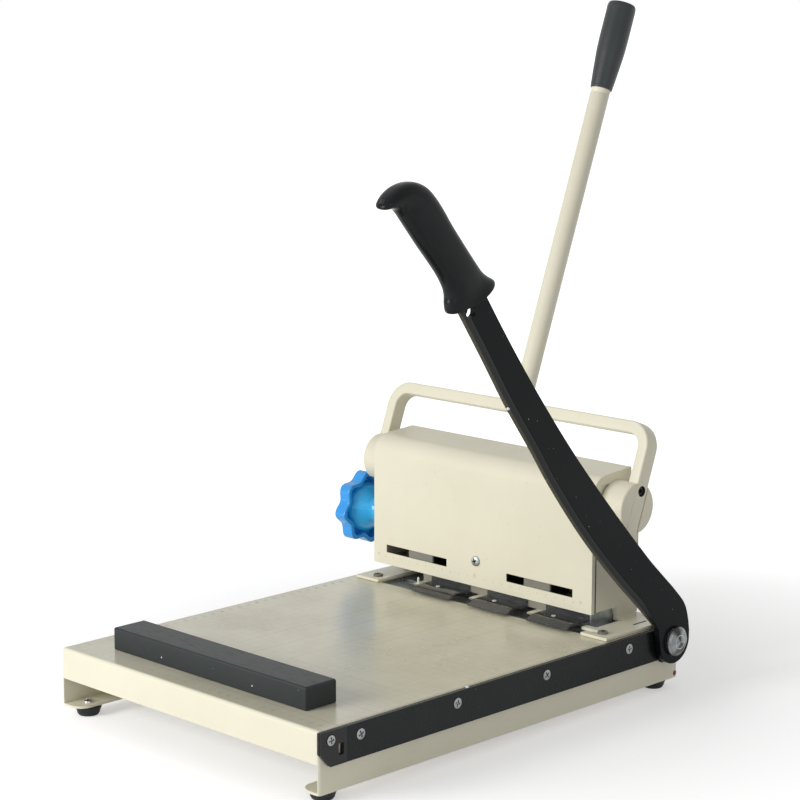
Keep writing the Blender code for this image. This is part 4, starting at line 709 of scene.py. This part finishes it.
# blade arm, its ground edge and its moulded handle
blade = {
    "pivotY": 0.3937, "pivotZ": 0.0449, "angle": math.radians(48.6), "length": 0.4, "wide": 0.05,
    "eye": 0.0192, "bevel": 0.0052, "strip": 0.0011, "inner": 0.3054, "land": 0.3066, "outer": 0.3109,
    "soft": 0.00035, "holes": ((0.0, 0.0, 0.0063), (0.3895, 0.0105, 0.0045)), "middleX": 0.30815,
    "handleStart": 0.3873, "handleLong": 0.1337, "handleWide": 0.05, "handleThick": 0.0205, "square": 0.8}
bladePivot = onMachine(0, blade["pivotY"], blade["pivotZ"])


def onBlade(along, across, x):
    # y = pivot - along cos a + across sin a, z = pivot + along sin a + across cos a
    c, s = math.cos(blade["angle"]), math.sin(blade["angle"])
    return np.stack(np.broadcast_arrays(
        bladePivot[0] + x, bladePivot[1] - along * c + across * s, bladePivot[2] + along * s + across * c), -1)


def makeBladeArm():
    # smooth lines through the arm's key points, carried across its thickness; the cutting side is ground back
    edge = [(0.064, -0.134), (0.1325, -0.182), (0.265, -0.286), (0.4, -0.334), (0.5425, -0.3),
            (0.6425, -0.226), (0.7625, -0.152), (0.885, -0.03), (0.9968, 0.072)]
    back = [(0.965, 0.587), (0.897, 0.526), (0.827, 0.473), (0.754, 0.428), (0.679, 0.394), (0.599, 0.371),
            (0.516, 0.364), (0.428, 0.376), (0.338, 0.402), (0.241, 0.443), (0.19, 0.47), (0.136, 0.518),
            (0.081, 0.566), (0.036, 0.576), (0.004, 0.485), (-0.0215, 0.362)]
    long, inner, land, outer, soft = (blade[key] for key in ("length", "inner", "land", "outer", "soft"))
    size = np.array([long, blade["wide"]])
    edge, back = smoothThrough(edge, 12) * size, smoothThrough(back, 12) * size
    tang = np.array([(0.9915 * long, 0.008), (0.495, 0.008), (0.495, 0.028), (0.97 * long, 0.028)])
    turn = np.linspace(math.atan2(back[-1, 1], back[-1, 0]) + math.radians(12), math.radians(292), 40)
    eye = blade["eye"] * np.stack([np.cos(turn), np.sin(turn)], -1)
    outline = np.vstack([edge, tang, back, eye])
    # the bevel's depth rises from nothing near the pivot as share^2 (3 - 2 share), and ends at the handle
    ground = np.zeros(len(outline))
    up = edge[:, 0] / long
    share = np.clip((up - 0.064) / 0.09, 0, 1) * np.clip((0.9968 - up) / 0.02, 0.1, 1)
    ground[:len(edge)] = blade["bevel"] * share * share * (3 - 2 * share)
    along = np.roll(outline, -1, 0) - np.roll(outline, 1, 0)
    along /= np.linalg.norm(along, axis=1, keepdims=True)
    inward = np.stack([-along[:, 1], along[:, 0]], -1)
    cutting = np.arange(len(outline)) < len(edge)
    lift = np.stack([np.zeros(len(outline)), ground], -1)
    strip = np.minimum(blade["strip"], ground) / np.maximum(ground, 1e-6)
    loops = [(outline + inward * soft * 0.6, inner), (outline, inner + soft * 0.6), (outline, land),
             (outline + lift * strip[:, None], land + (outer - land) * strip * 0.9 + 0.00005),
             (outline + lift * 0.96, np.where(cutting, outer - soft * 0.5, outer - soft)),
             (outline + lift + inward * soft, outer)]
    points = np.stack([onBlade(flat[:, 0], flat[:, 1], x) for flat, x in loops])
    count, last = len(outline), (len(loops) - 1) * len(outline)
    faces = gridFaces(len(loops), count) + [list(range(count)), list(range(last, last + count))]
    holes = [gridMesh("hole", turnedPoints([(0, radius), (0.016, radius)], onBlade(u, n, 0.3), (1, 0, 0), 48))
             for u, n, radius in blade["holes"]]
    mesh = cutHoles(finishMesh("bladeArmGround", points, faces, 30), holes, 30)
    addPiece("bladeArmGround", mesh, ["blackPaint", "edge"], "blade", ("blade_arm",))
    # the faces below the bevel's upper line, and between the two sides, are the ground edge
    middles = faceValues(mesh, "center") - bladePivot
    c, s = math.cos(blade["angle"]), math.sin(blade["angle"])
    u, n = -middles[:, 1] * c + middles[:, 2] * s, middles[:, 1] * s + middles[:, 2] * c
    line = np.interp(u, edge[:, 0], edge[:, 1]) + np.interp(u, edge[:, 0], ground[:len(edge)])
    near = (n < line + 0.0001) & (u > edge[0, 0]) & (u < edge[-1, 0])
    paintFaces(mesh, near & (middles[:, 0] > inner) & (middles[:, 0] < outer - 0.0001))
    # the two flat sides are shaded flat
    mesh.polygons.foreach_set("use_smooth", np.abs(faceValues(mesh, "normal")[:, 0]) < 0.999)
    mesh.update()


def makeArmHandle():
    # superellipse sections between a lower and an upper line, across the handle's own direction
    lower = [(0.045, 0.38), (0.066, 0.24), (0.09, 0.068), (0.106, -0.06), (0.134, -0.105), (0.172, -0.052),
             (0.205, 0.034), (0.25, 0.092), (0.33, 0.122), (0.454, 0.122), (0.574, 0.114), (0.746, 0.118),
             (0.8, 0.12), (0.845, 0.1), (0.876, 0.03), (0.902, -0.055), (0.924, -0.085), (0.938, -0.04)]
    upper = [(0.045, 0.38), (0.02, 0.56), (0.004, 0.72), (0.002, 0.82), (0.022, 0.852), (0.07, 0.8),
             (0.13, 0.754), (0.22, 0.742), (0.34, 0.74), (0.499, 0.748), (0.6, 0.768), (0.69, 0.77),
             (0.775, 0.738), (0.845, 0.65), (0.895, 0.525), (0.928, 0.365), (0.942, 0.2), (0.946, 0.06)]
    lower, upper = smoothThrough(lower, 7), smoothThrough(upper, 7)
    size = np.array([blade["handleLong"], blade["handleWide"]])
    lower, upper = lower * size, upper * size
    middle, half = (lower + upper) / 2, (upper - lower) / 2
    share = np.linspace(0, 1, len(middle))
    near = np.clip(share / 0.1, 0, 1)
    far = np.clip((1 - share) / 0.26, 0, 1)
    fullness = np.sqrt(1 - (1 - near) ** 3) * np.sqrt(1 - (1 - far) ** 2.5)
    waist = 1 - 0.1 * np.exp(-((share - 0.3) / 0.1) ** 2) - 0.05 * share
    thick = blade["handleThick"] / 2 * fullness * waist
    angle = fullTurn(56)
    c = np.sign(np.cos(angle)) * np.abs(np.cos(angle)) ** blade["square"]
    s = np.sign(np.sin(angle)) * np.abs(np.sin(angle)) ** blade["square"]
    dimples = 0.09 * np.sin(share[:, None] * math.tau * 4.6) ** 2 * np.exp(-((c[None] + 0.62) / 0.22) ** 2)
    dimples = dimples * (np.clip((share - 0.34) / 0.06, 0, 1) * np.clip((0.8 - share) / 0.06, 0, 1))[:, None]
    flat = middle[:, None] + half[:, None] * c[None, :, None]
    x = blade["middleX"] + (thick[:, None] * s[None]) * (1 - dimples)
    points = onBlade(blade["handleStart"] + flat[..., 0], flat[..., 1], x)
    mesh = gridMesh("armHandleMoulded", points, smooth=60)
    addPiece("armHandleMoulded", mesh, "handle", "blade", ("arm_handle",))


makeBladeArm()
makeArmHandle()
print("blade pieces made")


# star knob
knob = {"rimWide": 0.012, "mean": 0.0308, "wave": 0.0025, "lobes": 8, "phase": math.radians(95.5),
        "wall": 0.0045, "web": 0.0035, "spindleY": 0.361, "spindleZ": 0.11, "long": 0.0386}


def makeKnob():
    # radius = profile radius + wave share * wave * cos(lobes * (angle - phase))
    r, w = knob["mean"], knob["wall"]
    front, web = knob["rimWide"], knob["web"]
    rim = easeCorners([(0.0, 0.0005, 0), (0.0, 0.014, 0.2), (0.0, r, 1), (front, r, 1), (front, r - w, 1),
                       (web, r - w, 1), (web, 0.0236, 0)], 0.0016, 7)
    dome = smoothThrough([(0.0042, 0.0232, 0), (0.007, 0.0228, 0), (0.0092, 0.0218, 0), (0.012, 0.0199, 0),
                          (0.015, 0.0173, 0), (0.0182, 0.0142, 0), (0.0212, 0.0114, 0), (0.025, 0.0097, 0),
                          (0.032, 0.009, 0), (0.0375, 0.009, 0)], 4)
    profile = np.vstack([rim, dome, [(knob["long"], 0.0082, 0), (knob["long"], 0.0005, 0)]])
    angle = fullTurn(knob["lobes"] * 20)
    lobes = np.cos(knob["lobes"] * (angle - knob["phase"]))[None]
    radius = profile[:, 1:2] + profile[:, 2:] * knob["wave"] * lobes
    start = onMachine(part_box("spacing_knob")[0].x - trayCorner.x, knob["spindleY"], knob["spindleZ"])
    points = np.stack([np.broadcast_to(start[0] + profile[:, :1], radius.shape),
                       start[1] + radius * np.cos(angle), start[2] + radius * np.sin(angle)], -1)
    mesh = gridMesh("spacingKnobMoulded", points, smooth=60)
    addPiece("spacingKnobMoulded", mesh, "blue", "spindle", ("spacing_knob",))


makeKnob()
print("knob made")


# screws with cross recesses
def makeCrossScrew(name, center, axis, radius, height, sink, material, replaces=(), slot=None, turn=0.3,
                   crown=0.35, recess=0.62):
    # height over the head = crown * (1 - (r/R)^2) less the depth of a cross-shaped recess
    axis, first, second = frameOf(axis)
    arm, reach = radius * 0.13, radius * recess

    def fromCross(x, y):
        # how far a place lies outside two crossed bars: negative inside them
        x, y = np.abs(x), np.abs(y)
        return np.minimum(np.maximum(x - arm, y - reach), np.maximum(y - arm, x - reach))

    ratio = np.concatenate([np.linspace(0.02, 0.72, 16), [0.8, 0.88, 0.94, 0.98, 1.0]])
    angle = fullTurn(72)
    x, y = radius * ratio[:, None] * np.cos(angle), radius * ratio[:, None] * np.sin(angle)
    dome = height * (1 - crown + crown * (1 - ratio ** 2))
    dome = dome * np.where(ratio > 0.9, 1 - ((ratio - 0.9) * 5) ** 2 * 0.5, 1)
    depth = np.clip(0.5 - fromCross(x, y) / (radius * 0.1), 0, 1) * (1 - 0.4 * ratio[:, None]) * radius * 0.32
    c, s = math.cos(turn), math.sin(turn)
    across = (x * c - y * s)[..., None] * first + (x * s + y * c)[..., None] * second
    points = center + (dome[:, None] - depth)[..., None] * axis + across
    mesh = gridMesh(name, np.vstack([points, center - sink * axis + across[-1:]]), smooth=38)
    addPiece(name, mesh, [material, "blackSteel"], "base", replaces)
    offset = faceValues(mesh, "center") - center
    u, v = offset @ first, offset @ second
    # painted shade: the faces within the cross recess take the blackened steel finish
    paintFaces(mesh, (fromCross(u * c + v * s, v * c - u * s) < radius * 0.02) & (offset @ axis > 0))


# each row: node, axis, where the head sits along it, its radius, height and sunk depth, material, other settings
railFace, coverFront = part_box("knife_rail")[1].x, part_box("cover_screw")[0].y
railScrew, lockScrew, headScrew = (0.0041, 0.001, 0.0018), (0.0039, 0.001, 0.0016), (0.0043, 0.0025, 0.0002)
screwRows = [
    *(("rail_screw_" + str(index + 1), (1, 0, 0), railFace - 0.0004, railScrew, "railScrew",
       {"turn": 0.4 + index * 0.9}) for index in range(4)),
    ("lock_plate_screw", (1, 0, 0), railFace - 0.0003, lockScrew, "railScrew", {"turn": 0.1}),
    *(("head_screw_" + side, (0, 0, 1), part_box("head_screw_" + side)[1].z - 0.0026, headScrew, "dullSteel",
       {"turn": turn, "crown": 0.45}) for side, turn in (("left", 0.5), ("right", 1.1))),
    ("cover_screw", (0, -1, 0), coverFront + 0.0024, (0.0044, 0.0024, 0.0002), "zinc",
     {"turn": 0.35, "crown": 0.5, "recess": 0.5})]
for node, axis, face, sizes, material, details in screwRows:
    center = middleOf(node)
    center[np.flatnonzero(axis)] = face
    name = "".join(word.title() for word in node.split("_"))
    makeCrossScrew(name[0].lower() + name[1:], center, axis, *sizes, material, (node,), slotOf[node], **details)
print("screws made")


# pivot nut: a thin flange, then a faceted cap with a flat middle
nut = {"tallShare": 0.55, "flats": 0.075, "sides": 96}


def makePivotNut():
    # radius * (1 - flats * share * (0.5 - 0.5 cos 6t)), where the share is nothing at the flange and the top
    low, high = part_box("pivot_nut")
    center = middleOf("pivot_nut")
    center[0] = low.x
    tall, radius = (high.x - low.x) * nut["tallShare"], (high.y - low.y) / 2
    profile = np.array([
        (0.0, 0.5), (0.0, 0.985), (0.03, 1.0), (0.17, 1.0), (0.2, 0.985), (0.215, 0.945), (0.24, 0.925),
        (0.42, 0.9), (0.55, 0.86), (0.66, 0.77), (0.78, 0.6), (0.9, 0.4), (0.955, 0.31), (0.985, 0.27),
        (1.0, 0.2), (1.0, 0.02)])
    profile = np.vstack([profile[:6], smoothThrough(profile[6:15], 5), profile[15:]]) * [tall, radius]
    profile[:, 0] = np.minimum(profile[:, 0], tall)
    points = turnedPoints(profile, center, (1, 0, 0), nut["sides"])
    angle = fullTurn(nut["sides"])
    up = profile[:, 0] / tall
    share = np.clip((up - 0.22) / 0.2, 0, 1) * np.clip((1 - up) / 0.2, 0, 1)
    flats = 1 - nut["flats"] * share[:, None] * (0.5 - 0.5 * np.cos(6 * angle)[None])
    points[..., 1:] = center[1:] + (points[..., 1:] - center[1:]) * flats[..., None]
    mesh = gridMesh("pivotCapNut", points, smooth=40)
    addPiece("pivotCapNut", mesh, "nutChrome", "base", ("pivot_nut",))


makePivotNut()
print("pivot nut made")


# rubber feet and the screws that hold them
def makeFeet():
    # radius against height: a foot that tapers to the floor, then the screw's head on its stud
    outline = [(0.0, 0.003), (0.0, 0.0078), (0.0022, 0.0092), (0.0024, 0.009), (0.007, 0.0108),
               (0.0077, 0.0108), (0.0077, 0.003)]
    for name in ("front_left", "rear_left", "front_right", "rear_right"):
        center = middleOf("rubber_foot_" + name) * [1, 1, 0]
        label = name.title().replace("_", "")
        points = turnedPoints(easeCorners(outline, 0.0007), center, (0, 0, 1), 56)
        mesh = gridMesh("rubberFoot" + label, points)
        addPiece("rubberFoot" + label, mesh, "foot", "base", ("rubber_foot_" + name,))
        makeCrossScrew("footScrew" + label, center + [0, 0, 0.0102], (0, 0, 1), 0.0036, 0.0024, 0.0001, "chrome",
                       slot="chrome", turn=len(name) * 0.7, crown=0.6)


makeFeet()
print("feet made")


# small fittings seen in the photograph that are too slight to be solids of their own
def makeBead(name, center, axis, radius, height, material, body):
    # a low dome: height falls with the square of the distance from its middle
    ratio = np.linspace(0.02, 1, 12)
    profile = np.stack([height * (1 - ratio ** 2), radius * ratio], -1)
    profile = np.vstack([profile, [(-height * 0.5, radius)]])
    mesh = gridMesh(name, turnedPoints(profile, center, axis, 32), smooth=50)
    addPiece(name, mesh, material, body)


def makeFittings():
    # screws of the guards, then the pin of a tab, then beads: name, place, axis, radius, height, material, body
    for name, x in (("Left", 0.0989), ("Centre", 0.1653), ("Right", 0.2317)):
        makeCrossScrew("guardScrew" + name, onMachine(x, 0.332, 0.0626), (0, 0, 1), 0.0021, 0.0009, 0.0002,
                       "chrome", turn=0.6, crown=0.7)
    post = turnedPoints([(0, 0.0009), (0.0048, 0.0009), (0.0054, 0.0006), (0.0054, 0.0001)],
                        onMachine(0.0725, 0.3345, 0.06), (0, 0, 1), 20)
    addPiece("tabPin", gridMesh("tabPin", post), "bead", "base")
    downBlade = onBlade(0, -1, 0) - onBlade(0, 0, 0)
    for row in (
            ("railBead", onMachine(0.302, 0.1525, 0.0563), (0.5, 0, 1), 0.0017, 0.001, "bead", "base"),
            # painted highlight: the blade's bead is a white dome put where the cutting edge shows a glint
            ("bladeBead", onBlade(0.3013, -0.0074, 0.3071), downBlade, 0.0014, 0.0011, "bead", "blade"),
            ("bracketPin", onMachine(0.3061, 0.3779, 0.0401), (1, 0, 0), 0.0011, 0.0007, "chrome", "base"),
            ("skirtRivet", onMachine(0.3, 0.4085, 0.0118), (1, 0, 0), 0.0022, 0.0008, "redLacquer", "base"),
            ("stopMark1", onMachine(0.0947, 0.0255, 0.0624), (0, -1, 0), 0.0006, 0.0002, "bead", "stop"),
            ("stopMark2", onMachine(0.2005, 0.0255, 0.0628), (0, -1, 0), 0.0006, 0.0002, "bead", "stop")):
        makeBead(*row)


def makeFlatMarks(name, quads, material):
    # many small flat quads in one mesh, each given by its four corners
    quads = np.asarray(quads, float)
    mesh = bpy.data.meshes.new(name)
    mesh.from_pydata(quads.reshape(-1, 3).tolist(), [], np.arange(len(quads) * 4).reshape(-1, 4).tolist())
    addPiece(name, mesh, material, "base")


coverScale = {"middle": 0.136, "pitch": 0.01, "ticks": 11, "tickLow": 0.0747, "tickHigh": 0.0764,
              "tickWide": 0.00035, "oval": (0.1345, 0.0772), "half": 0.118}


def makeCoverScale():
    # upright ticks ten millimetres apart, an oval for the middle and an open triangle at each end
    def betweenLines(outer, inner):
        ring = np.stack([outer[:-1], outer[1:], inner[1:], inner[:-1]], 1)
        return np.insert(ring, 1, face, -1)

    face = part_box("head_cover")[0].y - trayCorner.y - 0.00006
    middle, half, wide = coverScale["middle"], coverScale["half"], coverScale["tickWide"] / 2
    steps = np.array([step for step in range(-coverScale["ticks"], coverScale["ticks"] + 1) if step])
    x = middle + steps * coverScale["pitch"]
    low, high = (np.full(len(x), coverScale[key]) for key in ("tickLow", "tickHigh"))
    marks = [np.stack([np.stack([x + side * wide, np.full(len(x), face), z], -1)
                       for side, z in ((-1, low), (1, low), (1, high), (-1, high))], 1)]
    angle = np.linspace(0, math.tau, 29)
    oval = np.stack([np.cos(angle), np.sin(angle)], -1)
    ovals = (oval * size + coverScale["oval"] for size in ([0.0013, 0.00195], [0.00098, 0.00162]))
    marks.append(betweenLines(*ovals))
    corners = np.array([(-0.0013, 0.001), (0.0013, 0.001), (0.0, -0.0014), (-0.0013, 0.001)])
    for x in (middle - half, middle + half):
        marks.append(betweenLines(corners + [x, 0.0764], corners * 0.7 + [x, 0.0765]))
    makeFlatMarks("coverScaleMarks", np.vstack(marks) + onMachine(0, 0, 0), "ink")


def makeFootSlot():
    # painted shade: a flat dark quad over the slit in the right foot plate
    low, high = onMachine(0.2866, 0.3675, 0.05915), onMachine(0.289, 0.3845, 0.05915)
    corners = [(x[0], y[1], low[2]) for x, y in ((low, low), (high, low), (high, high), (low, high))]
    makeFlatMarks("footSlit", [corners], "dark")


deckNumbers = {"size": 0.0034, "inset": 0.0105, "pitch": 0.01, "above": 0.00006}


def makeDeckNumbers():
    # centimetre numbers beside the two rulers: x along the front one, y along the left one
    start = onMachine(0, 0, deckZ + deckNumbers["above"])
    for label, count, along in (("Left", 31, 1), ("Front", 29, 0)):
        merged = bmesh.new()
        for number in range(1, count + 1):
            curve = bpy.data.curves.new("number", "FONT")
            curve.body = str(number)
            curve.size = deckNumbers["size"]
            curve.align_x, curve.align_y = "CENTER", "CENTER"
            holder = putInScene("number", curve)
            bpy.context.view_layer.update()
            flat = bpy.data.meshes.new_from_object(holder.evaluated_get(bpy.context.evaluated_depsgraph_get()))
            bpy.data.objects.remove(holder, do_unlink=True)
            place = start + [deckNumbers["inset"], deckNumbers["inset"], 0]
            place[along] = start[along] + number * deckNumbers["pitch"]
            flat.transform(Matrix.Translation(place.tolist()))
            merged.from_mesh(flat)
            bpy.data.meshes.remove(flat)
        mesh = bpy.data.meshes.new("deckNumbers" + label)
        merged.to_mesh(mesh)
        merged.free()
        addPiece("deckNumbers" + label, mesh, "ink", "base")


coverSeam = {"inset": 0.00112, "start": 0.005, "wide": 0.0017, "bottom": 0.0008, "top": 0.0165}


def makeCoverSeam():
    # the narrow shadow where the cover's front return ends on the right side plate
    low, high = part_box("head_cover")
    x, start = high.x - coverSeam["inset"], low.y + coverSeam["start"]
    end, bottom, top = start + coverSeam["wide"], low.z + coverSeam["bottom"], high.z - coverSeam["top"]
    makeFlatMarks("coverSeam", [[(x, start, bottom), (x, end, bottom), (x, end, top), (x, start, top)]], "dark")


makeFittings()
makeCoverScale()
makeCoverSeam()
makeFootSlot()
makeDeckNumbers()
print("small fittings and prints made")


# nodes that keep their own mesh take a finish
for node, object3d in frame["nodes"].items():
    if not object3d.hide_render:
        object3d.data.materials.clear()
        object3d.data.materials.append(materials[finishOf[slotOf[node]]])
        object3d.data.shade_smooth()


# studio
studio = {"floorHalf": 150.0, "floorColor": (0.9, 0.9, 0.9, 1), "glow": (0.25, 0.9, 0.4, 1.0),
          "worldStrength": 0.34, "aimHeight": 0.15,
          "lights": (("keyLight", (-0.28, -0.94, 0.31), 2.4, 1.1, 37.0),
                     ("fillLight", (0.95, -0.45, 0.22), 2.6, 1.4, 6.5))}


def seenShare(tree):
    # one where the camera, a reflection or a see-through piece looks, nothing where light is spread
    path = tree.nodes.new("ShaderNodeLightPath").outputs
    return doMath("MAXIMUM", path["Is Camera Ray"], path["Is Glossy Ray"], path["Is Transmission Ray"])


def makeStudio():
    # a floor that glows more the further it is from the object, a white world and two soft lamps
    mesh, wide = bpy.data.meshes.new("studioFloor"), studio["floorHalf"]
    corners = [(-wide, -wide, 0), (wide, -wide, 0), (wide, wide, 0), (-wide, wide, 0)]
    mesh.from_pydata(corners, [], [(0, 1, 2, 3)])
    floor = putInScene("studioFloor", mesh)
    material = bpy.data.materials.new("studioFloorWhite")
    material.use_nodes = True
    tree = material.node_tree
    tree.nodes.clear()
    diffuse = addNode(tree, "ShaderNodeBsdfDiffuse", {"Color": studio["floorColor"]})
    away = doVector("LENGTH", tree.nodes.new("ShaderNodeTexCoord").outputs["Object"])
    strength = doMath("MULTIPLY", seenShare(tree), remap(away, *studio["glow"]))
    lift = addNode(tree, "ShaderNodeEmission", {"Color": (1, 1, 1, 1), "Strength": strength})
    both = addNode(tree, "ShaderNodeAddShader", {0: diffuse.outputs[0], 1: lift.outputs[0]})
    addNode(tree, "ShaderNodeOutputMaterial", {"Surface": both.outputs[0]})
    mesh.materials.append(material)

    world = bpy.data.worlds.new("studioWorld")
    bpy.context.scene.world = world
    world.use_nodes = True
    tree = world.node_tree
    tree.nodes.clear()
    strength = remap(seenShare(tree), 0.0, 1.0, studio["worldStrength"], 1.0)
    background = addNode(tree, "ShaderNodeBackground", {"Color": (1, 1, 1, 1), "Strength": strength})
    addNode(tree, "ShaderNodeOutputWorld", {"Surface": background.outputs[0]})

    for name, direction, distance, size, power in studio["lights"]:
        light = bpy.data.lights.new(name, "AREA")
        light.size = size
        light.energy = power
        lamp = putInScene(name, light)
        away = Vector(direction).normalized()
        lamp.location = away * distance + Vector((0, 0, studio["aimHeight"]))
        lamp.rotation_euler = away.to_track_quat("Z", "Y").to_euler()


view = {"place": (1.29905, -1.34095, 0.5826), "lens": 104.054, "elevation": 10.333, "azimuth": 44.715,
        "roll": 0.145}


def makeCamera():
    # forward = (-sin a cos e, cos a cos e, -sin e), then the two other axes turned by the roll
    e, a, roll = (math.radians(view[key]) for key in ("elevation", "azimuth", "roll"))
    forward = Vector((-math.sin(a) * math.cos(e), math.cos(a) * math.cos(e), -math.sin(e)))
    right = Vector((math.cos(a), math.sin(a), 0))
    up = right.cross(forward)
    turnedRight = right * math.cos(roll) + up * math.sin(roll)
    turnedUp = up * math.cos(roll) - right * math.sin(roll)
    camera = bpy.data.cameras.new("photoCamera")
    camera.lens = view["lens"]
    camera.sensor_width = 36
    camera.sensor_fit = "HORIZONTAL"
    camera.clip_end = 50
    holder = putInScene("photoCamera", camera)
    turn = Matrix((turnedRight, turnedUp, -forward)).transposed().to_4x4()
    holder.matrix_world = Matrix.Translation(Vector(view["place"])) @ turn
    bpy.context.scene.camera = holder


makeStudio()
makeCamera()
bpy.context.scene.view_settings.view_transform = "Standard"
print("studio and camera ready")
